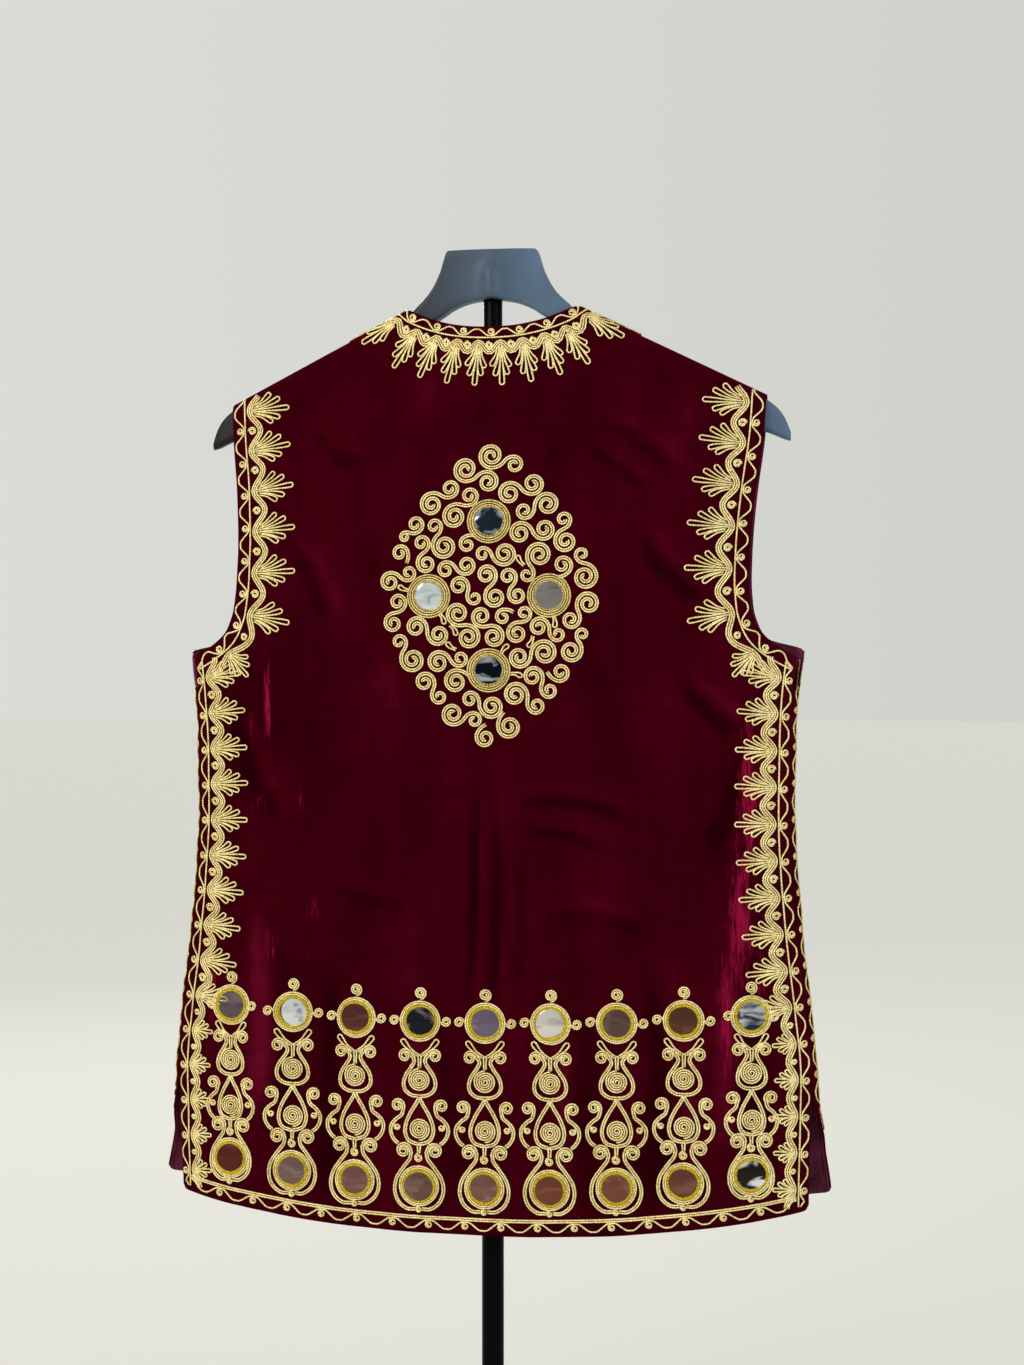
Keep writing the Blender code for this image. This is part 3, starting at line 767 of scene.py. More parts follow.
# ---- medallion: pairs of spirals packed into a diamond round four mirrors, each pair one S of doubled cord
medallion = {
    "halfWide": 89.0, "halfTall": 120.0, "bulge": 1.45, "count": 74, "seed": 5, "big": 11.0, "small": 6.8,
    "mirrorRing": 16.9, "bandPitch": 4.75, "ends": [(1 + 109.5j, 11.2), (-3 - 110.5j, 8.8)],
}


def packedCircles(mirrors):
    fixed = np.concatenate([mirrors, [spot for spot, radius in medallion["ends"]]])
    rng = np.random.default_rng(medallion["seed"])
    count, bulge = medallion["count"], medallion["bulge"]
    radius = np.linspace(medallion["big"], medallion["small"], count)
    wide, tall = medallion["halfWide"], medallion["halfTall"]
    turned, out = np.arange(count) * 2.39996, np.sqrt((np.arange(count) + 0.5) / count)
    spot = out * (wide * np.cos(turned) + 1j * tall * np.sin(turned)) * 0.9
    radius = rng.permutation(radius)
    spot = np.concatenate([fixed, spot])
    held = [radius for spot, radius in medallion["ends"]]
    radius = np.concatenate([np.full(len(mirrors), medallion["mirrorRing"]), held, radius])
    for turn in range(1500):
        apart = spot[:, None] - spot[None, :]
        far = np.abs(apart) + np.eye(len(spot))
        push = np.maximum(radius[:, None] + radius[None, :] - far, 0) * (1 - np.eye(len(spot)))
        spot = spot + 0.35 * (push * apart / far).sum(1)
        outside = (np.abs(spot.real) / (wide - radius)) ** bulge + (np.abs(spot.imag) / (tall - radius)) ** bulge
        spot = spot * np.minimum(1, np.maximum(outside, 1e-9) ** (-1 / bulge))
        spot[: len(fixed)] = fixed
    x, y = np.meshgrid(np.arange(-wide, wide, 1.3), np.arange(-tall, tall, 1.3))
    holes = (x + 1j * y).ravel()
    inside = (np.abs(holes.real) / wide) ** bulge + (np.abs(holes.imag) / tall) ** bulge
    edge = (1 - np.maximum(inside, 1e-9) ** (1 / bulge)) * np.abs(holes) / np.maximum(inside, 1e-9) ** (1 / bulge)
    gaps = []
    while True:  # more circles in the gaps, the widest first
        room = np.minimum((np.abs(holes[:, None] - spot[None, :]) - radius[None, :]).min(1), edge)
        k = int(np.argmax(room))
        if room[k] < 1.8:
            break
        if room[k] < 4.4:
            gaps.append((room[k], holes[k]))
        spot, radius = np.append(spot, holes[k]), np.append(radius, min(room[k], 9.0) + (0.3 if room[k] >= 4.4 else 2))
    keep = np.array([all(abs(s - g[1]) > 0.01 for g in gaps) for s in spot])
    keep[: len(mirrors)] = False
    return spot[keep], radius[keep], gaps


def bandSpiral(spot, radius, start, way, begin):
    turns = max((radius - 2.4) / medallion["bandPitch"] + 0.2, 1.1)
    return spiral(spot, radius - 1.0, 1.5, turns, start, way, begin=begin, hold=1.1)


def medallionStrands():
    middle = sum(mirrorAt[name] for name in mirrorNodes if "medallion" in name) / 4
    fixed = np.array([mirrorAt[name] - middle for name in mirrorNodes if "medallion" in name])
    spots, radii, gaps = packedCircles(fixed)
    reach = np.abs(spots[:, None] - spots[None, :]) - radii[:, None] - radii[None, :]
    pairs = sorted((reach[i, j], i, j) for i in range(len(spots)) for j in range(i + 1, len(spots)))
    single, strands = set(range(len(spots))), []
    for gap, i, j in pairs:
        if gap > 1.5 or i not in single or j not in single:
            continue
        single -= {i, j}
        toward = math.degrees(np.angle(spots[j] - spots[i]))
        way = 1 if (i + j) % 2 else -1
        ends = [
            bandSpiral(spots[k], radii[k], start, way, radii[k] + gap / 2) for k, start in ((i, toward), (j, toward + 180))
        ]
        strands += double(np.concatenate([ends[0][::-1], ends[1][1:]]))
    for k in sorted(single):
        nearest = fixed[np.argmin(np.abs(fixed - spots[k]))]
        start = math.degrees(np.angle(nearest - spots[k]))
        strands += double(bandSpiral(spots[k], radii[k], start, 1, radii[k] + 1.5))
    leaves = 0
    for gap, spot in gaps:  # leaf loops in what is left
        far = abs(spot.real) / medallion["halfWide"] + abs(spot.imag) / medallion["halfTall"]
        if leaves < 9 and 2.0 < gap < 4.5 and far < 0.85:
            near = fixed[np.argmin(np.abs(fixed - spot))]
            along = (spot - near) / abs(spot - near)
            strands.append(petal(spot - 4.4 * along, spot + 5.0 * along, 1.7, 0.7))
            leaves += 1
    return [strand + middle for strand in strands]


def mirrorRings(place, radii):
    return [circle(place, r, start=40 * i) for i, r in enumerate(radii)]


# ---- one of the nine columns, in mm from its top mirror
column = {
    "tall": 125.2,  # top mirror to foot mirror, as drawn
    "rings": (13.9, 15.45),
    "disc": 8.8,
    "pear": [(0, -57.2), (6.3, -56.4), (11.3, -52.8), (12.6, -47.3), (10.7, -41.2), (6.8, -35.6), (4.3, -31.0), (5.0, -27.6)],
    "drop": [(0, -58.4), (2.7, -63.2), (7.1, -70.2), (10.5, -78), (11.2, -85), (8.0, -91.2), (0, -93.8)],
    "scroll": [(12.9, -67.6), (14.4, -72.0), (18.6, -75.2), (22.3, -79.8), (22.6, -85.6), (20.0, -90.8), (16.6, -93.6)],
    "footPear": [(2.6, -17.6), (9.5, -17.4), (16.4, -12.3), (19.4, -4.0), (17.9, 5.2), (12.4, 13.6), (7.3, 20.2), (6.1, 25.4)],
}


def columnStrands(tall, wide):
    grow = tall / column["tall"]

    def at(x, y):
        return complex(x * wide, y * grow)

    foot = at(0, -column["tall"])
    strands = mirrorRings(0j, column["rings"]) + mirrorRings(foot, column["rings"])
    strands.append(spiral(21.8j, 4.9, 0.8, 2.5, -90, 1))
    strands += [spiral(20.4 * side * wide + 0.2j, 4.1, 0.8, 2.1, 90 + 90 * side, 1) for side in (-1, 1)]
    half = [petal(at(1.6, -26), at(14.4, -14.4), 1.9, -0.9)]
    pear = through([at(x, y) for x, y in column["pear"]])
    half += double(np.concatenate([pear, spiral(at(11.6, -26.6), 5.2, 1.2, 1.35, 178, -1)]))
    half += double(through([at(x, y) for x, y in column["drop"]]))
    scroll = through([at(x, y) for x, y in column["scroll"]])
    half += double(np.concatenate([spiral(at(17.4, -64.6), 4.8, 1.2, 1.3, 184, -1)[::-1], scroll]))
    half.append(spiral(at(17.6, -81.0), 2.6, 0.7, 1.7, 60, -1))
    footPear = through([foot + at(x, y) for x, y in column["footPear"]])
    half += double(np.concatenate([footPear, spiral(foot + at(12.4, 26.5), 5.8, 1.3, 1.5, 178, -1)]))
    strands += half + mirrored(half)
    strands += [spiral(at(0, -44.8), column["disc"], 0.7, 4.4, 90, 1), spiral(at(0, -82.2), column["disc"] - 0.3, 0.7, 4.2, -90, 1)]
    strands.append(petal(at(0, -35.5), at(0, -25.5), 1.1, 0))
    strands.append(spiral(foot + at(0, 21.4), 3.4, 0.7, 2, 90, 1))
    strands.append(petal(foot + at(0, 24.6), foot + at(0, 31.5), 1.1, 0))
    strands.append(spiral(foot - 18.4j, 2.4, 0.6, 1.7, 90, 1))
    return strands


def placeColumn(number):
    top, foot = (mirrorAt[f"mirror_column_{number}_{end}"] for end in ("top", "foot"))
    outer = number in (min(columnNumbers), max(columnNumbers))
    lean = (foot - top) / abs(foot - top) * 1j  # a column turns a little with the flare
    return [top + strand * lean for strand in columnStrands(abs(foot - top), 0.86 if outer else 1.0)]


def stitches(place, inner, outer, count, sides=1):
    turns = np.exp(1j * np.linspace(0, math.tau, count, endpoint=False))
    reach = np.linspace(inner, outer, 4)
    return [place + reach * turn * np.exp(1j * 0.05 * reach / inner) for turn in turns]


# ---- borders
edging = {
    "inset": 11.3, "lines": (0,), "from": 1.0, "upTo": 0.5, "step": 1.9, "wavePitch": 26.4, "wave": 6.7, "waveShift": 0,
    "pitch": 32.4, "firstRoot": 32.0, "lastRoot": 13.0, "bulge": 9.2, "petals": 5, "size": 1.0, "spread": 1.0, "endLean": 0, "eye": 3.4,
}
sideEdging = {
    **edging, "inset": 9.4, "pitch": 27.2, "wavePitch": 27.2, "wave": 5.2, "size": 0.88, "spread": 0.92, "bulge": 8.6,
    "firstRoot": 14.0, "lastRoot": 17.0, "waveShift": -1.0, "upTo": 3.0,
}
neckEdging = {
    **edging, "pitch": 16.6, "inset": 9.0, "wavePitch": 22.0, "wave": 4.6, "bulge": 7.6, "spread": 0.62, "eye": 3.0,
    "firstRoot": 0.0, "lastRoot": 0.0, "size": 1.0, "from": 0.0, "upTo": 0.0, "endLean": 17,
}
hemEdging = {
    **edging, "inset": 11.4, "lines": (0, 1.64), "pitch": 28.4, "wavePitch": 28.0, "wave": 5.6, "petals": 0, "from": 8.0, "upTo": 8.0,
}


def extended(path, before, after):
    start = path[0] - before * (path[4] - path[0]) / abs(path[4] - path[0])
    end = path[-1] + after * (path[-1] - path[-5]) / abs(path[-1] - path[-5])
    return np.concatenate([[start], path, [end]])


def towardHem(share):  # palmettes are small beside the columns and grow above them
    return 0.6 + 0.4 * float(ease((share - 0.30) / 0.10))


def fromArmpit(share):  # the palmette that turns the armpit's corner is smaller
    return 0.72 + 0.28 * float(ease((share - 0.16) / 0.1))


def backBorders():
    upper = borderStrands(edgeLine(back, "armhole"), edging, fromArmpit)
    lower = borderStrands(edgeLine(back, "side"), sideEdging, towardHem)
    neck = borderStrands(extended(edgeLine(back, "neck"), 6.5, 6.5), neckEdging)
    hem = borderStrands(edgeLine(back, "hem"), hemEdging)
    return upper + mirrored(upper) + neck, lower + mirrored(lower) + hem


def frontBorders():
    coarse = {"step": 2.6}
    turned = {"firstRoot": edging["lastRoot"], "lastRoot": edging["firstRoot"]}
    strands = borderStrands(edgeLine(front, "armhole"), {**edging, **coarse, **turned}, lambda share: fromArmpit(1 - share))
    strands += borderStrands(edgeLine(front, "side"), {**sideEdging, **coarse}, lambda share: towardHem(1 - share))
    strands += borderStrands(edgeLine(front, "neck"), {**edging, **coarse, "inset": 10.0, "lastRoot": 6.0})
    strands += borderStrands(edgeLine(front, "hem"), {**hemEdging, **coarse})
    return strands


backUpper, backLower = backBorders()
layCords("cord_medallion", medallionStrands(), back, goldCord, "top")
layCords("cord_columns_right", sum((placeColumn(n) for n in columnNumbers if n >= 5), []), back, goldCord, "top")
layCords("cord_columns_left", sum((placeColumn(n) for n in columnNumbers if n < 5), []), back, goldCord, "top")
layCords("cord_neck_and_armholes", backUpper, back, goldCord, "top")
layCords("cord_sides_and_hem", backLower, back, goldCord, "top")
frontStrands = frontBorders()
layCords("cord_front_right", frontStrands, front, goldCord, "top", sides=4)
layCords("cord_front_left", mirrored(frontStrands), front, goldCord, "top", sides=4)
ringCords, yellowCords, paleCords = [], [], []
for node, place in mirrorAt.items():
    if "medallion" in node:
        ringCords += mirrorRings(place, (12.9, 14.75, 16.6))
        paleCords += stitches(place, 10.5, 12.2, 60)
    else:
        yellowCords += stitches(place, 10.6, 13.4, 70)
layCords("cord_mirror_rings", ringCords, back, ringCord, "top", lift=0.7)
layCords("stitches_yellow", yellowCords, back, yellowThread, "top", thick=1.05, sides=4, arch=0.7, lift=0.9)
layCords("stitches_gold", paleCords, back, goldCord, "top", thick=1.0, sides=4, arch=0.6, lift=0.9)


# ---- cloth shells: a grid laid on the cut, given its wall, lined with satin
shell = {"backGrid": (176, 206), "frontGrid": (74, 160), "dense": 0.4}
# flattened pile flecks and painted sheen streaks down the curving sides, in mm on the flat cut: across, up, half width,
# half height, strength
wearAndSheenSpots = [
    (203, 590, 9, 78, 1.2),
    (197, 500, 12, 66, 1.2),
    (187, 430, 10, 60, 1.0),
    (212, 455, 7, 40, 0.8),
    (-176, 666, 3.5, 40, 1.4),
    (-190, 640, 5, 30, 0.6),
    (-184, 588, 7, 16, 0.7),
    (-148, 590, 3, 14, 0.8),
    (-137, 500, 6, 18, 0.7),
    (-172, 474, 8, 18, 0.9),
    (-140, 466, 10, 14, 0.5),
    (-222, 430, 5, 60, 0.8),
    (168, 895, 16, 12, 0.35),
    (330, 560, 16, 110, 0.6),
    (440, 520, 18, 80, 0.5),
]


def shellGrid(side, across, up):
    share = np.linspace(0, 1, across + 1) if side == front else np.linspace(-1, 1, across + 1)
    w = np.abs(share) + shell["dense"] * 0.5 * np.sin(math.pi * np.abs(share)) / math.pi
    low = settle(hemLine, w, cut["hemZ"], side)
    edgeX = clothPoint(columnQ(np.ones(1), low[-1:], side), low[-1:], side)[0, 0]
    short = np.clip(cut["corner"] - (edgeX - clothPoint(columnQ(w, low, side), low, side)[..., 0]), 0, cut["corner"])
    low = low + cut["corner"] - np.sqrt(cut["corner"] ** 2 - short**2)
    high = settle(topLine, w, cut["neckZ"], side)
    highX = clothPoint(columnQ(w, high, side), high, side)[..., 0]
    high = flattened(highX, high)
    armpit = (cut["armpitZ"] - low[-1]) / (high[-1] - low[-1])
    t = np.linspace(0, 1, 400)
    crowded = np.cumsum(1 + 1.6 * np.exp(-(((t - armpit - 0.01) / 0.035) ** 2)))
    crowded = (crowded - crowded[0]) / (crowded[-1] - crowded[0])
    rows = np.interp(np.linspace(0, 1, up + 1), crowded, t)
    rows[np.argmin(np.abs(rows - armpit))] = armpit
    h = low[:, None] + rows[None, :] * (high - low)[:, None]
    z = np.minimum(folded(highX[:, None] + 0 * h, h), 2)
    q = columnQ(w[:, None] + 0 * h, z, side)
    s = q * loopLength(z, side)
    return s * np.where(share < 0, -1, 1)[:, None], h


def clothShell(name, side, flip, cells):
    across, up = cells
    bm = bmesh.new()
    bmesh.ops.create_grid(bm, x_segments=across, y_segments=up, size=1)
    bm.verts.ensure_lookup_table()
    s, h = shellGrid(side, across, up)
    s = s * flip
    points, normals = lay(s.ravel(), h.ravel(), side)
    column = [round((v.co.x + 1) / 2 * across) for v in bm.verts]
    row = [round((v.co.y + 1) / 2 * up) for v in bm.verts]
    order = np.array(column) * (up + 1) + np.array(row)
    for vert, k in zip(bm.verts, order):
        vert.co = points[k]
    bm.normal_update()
    if Vector(normals[order[0]]).dot(bm.verts[0].normal) < 0:
        bmesh.ops.reverse_faces(bm, faces=bm.faces)
    mesh = bpy.data.meshes.new(name)
    bm.to_mesh(mesh)
    bm.free()
    # pale flecks of flattened pile and painted sheen streaks down the curving sides
    wear_and_sheen = np.zeros(len(order))
    place = s.ravel()[order] / mm, h.ravel()[order] / mm
    for x, z, wide, tall, strength in wearAndSheenSpots:
        for across in (x, -x) if x > 250 else (x,):  # both fronts alike
            here = strength * np.exp(-(((place[0] - across) / wide) ** 2) - ((place[1] - z) / tall) ** 2)
            wear_and_sheen = np.maximum(wear_and_sheen, here)
    mesh.attributes.new("wear_and_sheen", "FLOAT", "POINT").data.foreach_set("value", wear_and_sheen.astype(np.float32))
    # painted shade in the crease troughs and painted light on their flanks
    painted_crease_shade = -creaseField(s.ravel()[order], h.ravel()[order], side, 0.5, 0.7)
    mesh.attributes.new("painted_crease_shade", "FLOAT", "POINT").data.foreach_set("value", painted_crease_shade.astype(np.float32))
    mesh.shade_smooth()
    mesh.materials.append(velvet)
    mesh.materials.append(satin)
    piece = bpy.data.objects.new(name, mesh)
    bpy.context.scene.collection.objects.link(piece)
    wall = piece.modifiers.new("wall", "SOLIDIFY")
    wall.thickness = cut["thick"]
    wall.offset = -1
    wall.material_offset = 1
    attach(piece, "top")
    grid = (s + 1j * h).reshape(across + 1, up + 1)
    a, b = np.diff(grid, axis=0)[:, :-1], np.diff(grid, axis=1)[:-1]
    area = float(np.abs((np.conj(a) * b).imag).sum())
    wide, tall = float(np.ptp(np.real(grid))), float(np.ptp(np.imag(grid)))
    print(f"{name}: flat {wide:.3f} x {tall:.3f} m, {area:.4f} square metres")
    return piece


backPanel = clothShell("velvet_back", back, 1, shell["backGrid"])
frontRight = clothShell("velvet_front_right", front, 1, shell["frontGrid"])
frontLeft = clothShell("velvet_front_left", front, -1, shell["frontGrid"])
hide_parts("back_panel")
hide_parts("front_right")
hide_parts("front_left")


# ---- crinkled lining strips inside the fronts at the vents
strip = {"cells": (46, 70), "from": 0.66, "to": 0.985, "upTo": 0.385, "below": 0.0026, "thick": 0.0006}


def liningStrip(name, flip):
    across, up = strip["cells"]
    bm = bmesh.new()
    bmesh.ops.create_grid(bm, x_segments=across, y_segments=up, size=1)
    bm.verts.ensure_lookup_table()
    share = np.array([v.co[:2] for v in bm.verts]) / 2 + 0.5
    w = strip["from"] + share[:, 0] * (strip["to"] - strip["from"])
    low = settle(hemLine, w, cut["hemZ"], front) + 0.0035
    z = low + share[:, 1] * (strip["upTo"] - low)
    s = columnQ(w, z, front) * loopLength(z, front) * flip
    crinkle = 0.45 * np.sin(s * 520 + 3 * np.sin(z * 160)) * np.sin(z * 240 + 2 * np.sin(s * 300))
    crinkle += 0.35 * np.sin(z * 610 + 4 * np.sin(s * 180))
    points, normals = lay(s, z, front, -strip["below"] - (0.5 + crinkle * 0.5) * mm)
    for vert, point in zip(bm.verts, points):
        vert.co = point
    bm.normal_update()
    if Vector(normals[0]).dot(bm.verts[0].normal) > 0:  # its right side faces the body
        bmesh.ops.reverse_faces(bm, faces=bm.faces)
    mesh = bpy.data.meshes.new(name)
    bm.to_mesh(mesh)
    bm.free()
    mesh.shade_smooth()
    mesh.materials.append(satin)
    piece = bpy.data.objects.new(name, mesh)
    bpy.context.scene.collection.objects.link(piece)
    wall = piece.modifiers.new("wall", "SOLIDIFY")
    wall.thickness = strip["thick"]
    wall.offset = 1
    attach(piece, "top")
    return piece


liningRight, liningLeft = liningStrip("satin_strip_right", 1), liningStrip("satin_strip_left", -1)
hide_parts("lining_right")
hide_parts("lining_left")
print("cloth ready")


# ---- mirrors: thin silvered glass, each with a painted reflection of the room in its colour
# mirror, main painted reflection tone, second painted reflection tone
paintedReflectionTones = {
    "mirror_medallion_top": ("#232d38", "#9fb0bc"),
    "mirror_medallion_left": ("#e6eef0", "#b7c3c8"),
    "mirror_medallion_right": ("#8b8984", "#74726e"),
    "mirror_medallion_bottom": ("#10161e", "#a9b0b8"),
    "mirror_column_1_top": ("#645660", "#80716f"),
    "mirror_column_2_top": ("#dfe3e6", "#8f989f"),
    "mirror_column_3_top": ("#5e3531", "#70463c"),
    "mirror_column_4_top": ("#20252c", "#8d7d78"),
    "mirror_column_5_top": ("#75687f", "#8f8399"),
    "mirror_column_6_top": ("#e2ddd6", "#b8afa8"),
    "mirror_column_7_top": ("#644a4a", "#765b53"),
    "mirror_column_8_top": ("#5d3d31", "#714d3d"),
    "mirror_column_9_top": ("#2c3448", "#ccd0d6"),
    "mirror_column_1_foot": ("#5f2f25", "#75443a"),
    "mirror_column_2_foot": ("#7c615f", "#8b7370"),
    "mirror_column_3_foot": ("#7e5753", "#8b6a62"),
    "mirror_column_4_foot": ("#70534b", "#86695f"),
    "mirror_column_5_foot": ("#805d52", "#94746a"),
    "mirror_column_6_foot": ("#7b4737", "#8e5a48"),
    "mirror_column_7_foot": ("#7c4d3f", "#8f6252"),
    "mirror_column_8_foot": ("#71473b", "#84594b"),
    "mirror_column_9_foot": ("#2d2522", "#f0f0f2"),
}
glass = {"radius": 11.5, "thick": 1.0, "edge": 0.3, "segments": 48}


def makeMirrorMaterial():
    material, tree, shader = newMaterial("silveredGlass", Metallic=1.0, Roughness=0.07)
    # the colour is a painted reflection: two tones broken up by noise
    paintedReflectionA = addNode(tree, "ShaderNodeAttribute", {"attribute_name": "paintedReflectionA"}).outputs["Color"]
    paintedReflectionB = addNode(tree, "ShaderNodeAttribute", {"attribute_name": "paintedReflectionB"}).outputs["Color"]
    place = addNode(tree, "ShaderNodeTexCoord").outputs["Object"]
    turned = addNode(
        tree, "ShaderNodeMapping", values={"Rotation": (0, 0.5, 0), "Scale": (1, 1, 2.2)}, links={"Vector": place}
    )
    cloud = addNode(
        tree,
        "ShaderNodeTexNoise",
        values={"Scale": 52, "Detail": 2, "Distortion": 0.6},
        links={"Vector": turned.outputs["Vector"]},
    )
    mix = addNode(
        tree,
        "ShaderNodeMix",
        {"data_type": "RGBA"},
        links={"Factor": ramp(tree, cloud.outputs["Fac"], (0.52, 0.0), (0.64, 1.0)), "A": paintedReflectionA, "B": paintedReflectionB},
    )
    tree.links.new(mix.outputs["Result"], shader.inputs["Base Color"])
    scratch = addNode(tree, "ShaderNodeTexNoise", values={"Scale": 160, "Detail": 3}, links={"Vector": place})
    bump = addNode(
        tree, "ShaderNodeBump", values={"Strength": 0.12, "Distance": 0.0005}, links={"Height": scratch.outputs["Fac"]}
    )
    tree.links.new(bump.outputs["Normal"], shader.inputs["Normal"])
    return material


silvered = makeMirrorMaterial()
for node, place in mirrorAt.items():
    bm = bmesh.new()
    r = glass["radius"] * mm
    bmesh.ops.create_cone(
        bm, cap_ends=True, segments=glass["segments"], radius1=r, radius2=r, depth=glass["thick"] * mm
    )
    rim = [edge for edge in bm.edges if abs(edge.verts[0].co.z - edge.verts[1].co.z) < 1e-6]
    bmesh.ops.bevel(
        bm, geom=rim, offset=glass["edge"] * mm, affect="EDGES", segments=2, profile=0.5, material=-1
    )
    points, normals = lay([place.real * mm], [place.imag * mm], back, (cut["gap"] / mm + glass["thick"] / 2) * mm)
    turn = Vector(normals[0]).to_track_quat("Z", "Y").to_matrix().to_4x4()
    bmesh.ops.transform(bm, matrix=Matrix.Translation(Vector(points[0])) @ turn, verts=bm.verts)
    mesh = bpy.data.meshes.new("glass_" + node[7:])
    bm.to_mesh(mesh)
    bm.free()
    for key, tone in zip(("paintedReflectionA", "paintedReflectionB"), paintedReflectionTones[node]):
        layer = mesh.attributes.new(key, "FLOAT_COLOR", "POINT")
        layer.data.foreach_set("color", np.tile(linear(tone), len(mesh.vertices)).astype(np.float32))
    mesh.shade_smooth()
    mesh.set_sharp_from_angle(angle=math.radians(40))
    mesh.materials.append(silvered)
    piece = bpy.data.objects.new("glass_" + node[7:], mesh)
    bpy.context.scene.collection.objects.link(piece)
    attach(piece, "top")
    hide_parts(node)


# ---- hanger head and stand
def makeHard(name, dark, light, grain, strength, painted_left_shade=None, **values):
    material, tree, shader = newMaterial(name, **values)
    place = addNode(tree, "ShaderNodeTexCoord").outputs["Object"]
    cloud = addNode(tree, "ShaderNodeTexNoise", values={"Scale": 22, "Detail": 4}, links={"Vector": place})
    scuff = addNode(
        tree, "ShaderNodeTexNoise", values={"Scale": 240, "Detail": 5, "Roughness": 0.75}, links={"Vector": place}
    )
    base = ramp(tree, cloud.outputs["Fac"], (0.3, dark), (0.7, light))
    # painted shade: darker towards the left side, away from the light
    if painted_left_shade:
        across = addNode(tree, "ShaderNodeSeparateXYZ", links={"Vector": place}).outputs["X"]
        leftShadeFade = addNode(
            tree,
            "ShaderNodeMapRange",
            values={"From Min": -0.07, "From Max": 0.04, "To Min": 1.0, "To Max": 0.0},
            links={0: across},
        )
        shaded = addNode(
            tree, "ShaderNodeMix", {"data_type": "RGBA"}, {"B": linear(painted_left_shade)}, {"A": base, "Factor": leftShadeFade.outputs[0]}
        )
        base = shaded.outputs["Result"]
    mark = ramp(tree, scuff.outputs["Fac"], (0.70, 0.0), (0.80, 0.35))
    colour = addNode(tree, "ShaderNodeMix", {"data_type": "RGBA"}, {"B": linear("#4c5058")})
    tree.links.new(mark, colour.inputs["Factor"])
    tree.links.new(base, colour.inputs["A"])
    tree.links.new(colour.outputs["Result"], shader.inputs["Base Color"])
    fine = addNode(
        tree, "ShaderNodeTexNoise", values={"Scale": 1 / (grain * mm), "Detail": 2}, links={"Vector": place}
    )
    bump = addNode(
        tree, "ShaderNodeBump", values={"Strength": strength, "Distance": 0.0002}, links={"Height": fine.outputs["Fac"]}
    )
    tree.links.new(bump.outputs["Normal"], shader.inputs["Normal"])
    return material


# Moulded polypropylene: near black, with a fine spark-eroded grain; its colour is a painted slate sheen from the window
# light, fading to painted shade on the left side
plastic = makeHard("mouldedPolypropylene", "#4a5e72", "#587088", 0.7, 0.35, painted_left_shade="#05070a", Roughness=0.42, IOR=1.35)
# Moulded nylon: the same grain, left black
nylon = makeHard("mouldedNylon", "#0b0d10", "#13161a", 0.7, 0.35, Roughness=0.45, IOR=1.3)
# Powder coat on steel tube: black with a faint orange peel
powderCoat = makeHard("blackPowderCoat", "#030304", "#060607", 1.1, 0.3, Roughness=0.28, IOR=1.12)

hanger = {
    "rows": [  # distance from its middle, top, bottom, half thickness, corner radius, all in mm
        (0.0, 1024.5, 985.8, 6.8, 1.2),
        (18.0, 1024.6, 983.1, 6.8, 1.2),
        (34.6, 1024.3, 976.3, 6.8, 1.2),
        (36.0, 1023.6, 975.1, 6.8, 1.2),
        (37.0, 1021.6, 974.6, 6.8, 1.2),
        (38.7, 1016.4, 973.4, 6.8, 1.4),
        (41.0, 1008.8, 972.0, 6.8, 1.6),
        (45.0, 1000.2, 969.2, 6.8, 2.0),
        (50.0, 992.2, 965.4, 6.7, 2.8),
        (56.0, 985.6, 960.0, 6.7, 3.6),
        (61.0, 981.2, 955.4, 6.6, 4.5),
    ],
    "tip": [
        (223.0, 899.0, 876.0, 6.0, 4.0),
        (230.0, 890.0, 873.0, 5.5, 3.6),
        (234.5, 879.0, 871.8, 4.0, 3.0),
    ],
    "armsAt": (66.0, 100.0, 140.0, 180.0, 212.0),
    "belowCloth": 3.6,
    "armHeight": 30.0,
    "armThick": (6.5, 4.6),
    "socket": (11.5, 986.2, 1012.0, 8.5),  # radius, foot, top and half width of the swelling round the tube
    "step": 2.0,
}


def hangerSection(x, top, bottom, thick, corner):
    corners = []
    for quarter, (sideY, sideZ) in enumerate(((1, 1), (-1, 1), (-1, -1), (1, -1))):
        middle = complex(sideY * (thick - corner), top - corner if sideZ > 0 else bottom + corner)
        turns = np.radians(90 * (quarter + np.linspace(0, 1, 4)))
        corners.append(middle + corner * np.exp(1j * turns))
    sections = []
    for k, arc in enumerate(corners):
        nextStart = corners[(k + 1) % 4][0]
        count = 9 if k % 2 else 4
        sections += [*arc, *np.linspace(arc[-1], nextStart, count)[1:-1]]
    section = np.array(sections)
    radius, foot, head, half = hanger["socket"]
    swell = max(0.0, radius - thick) * math.exp(-((abs(x) / half) ** 2) * 1.4)
    inside = ease((section.imag - foot + 5) / 6) * ease((head + 4 - section.imag) / 9)
    return section + swell * inside * section.real / thick


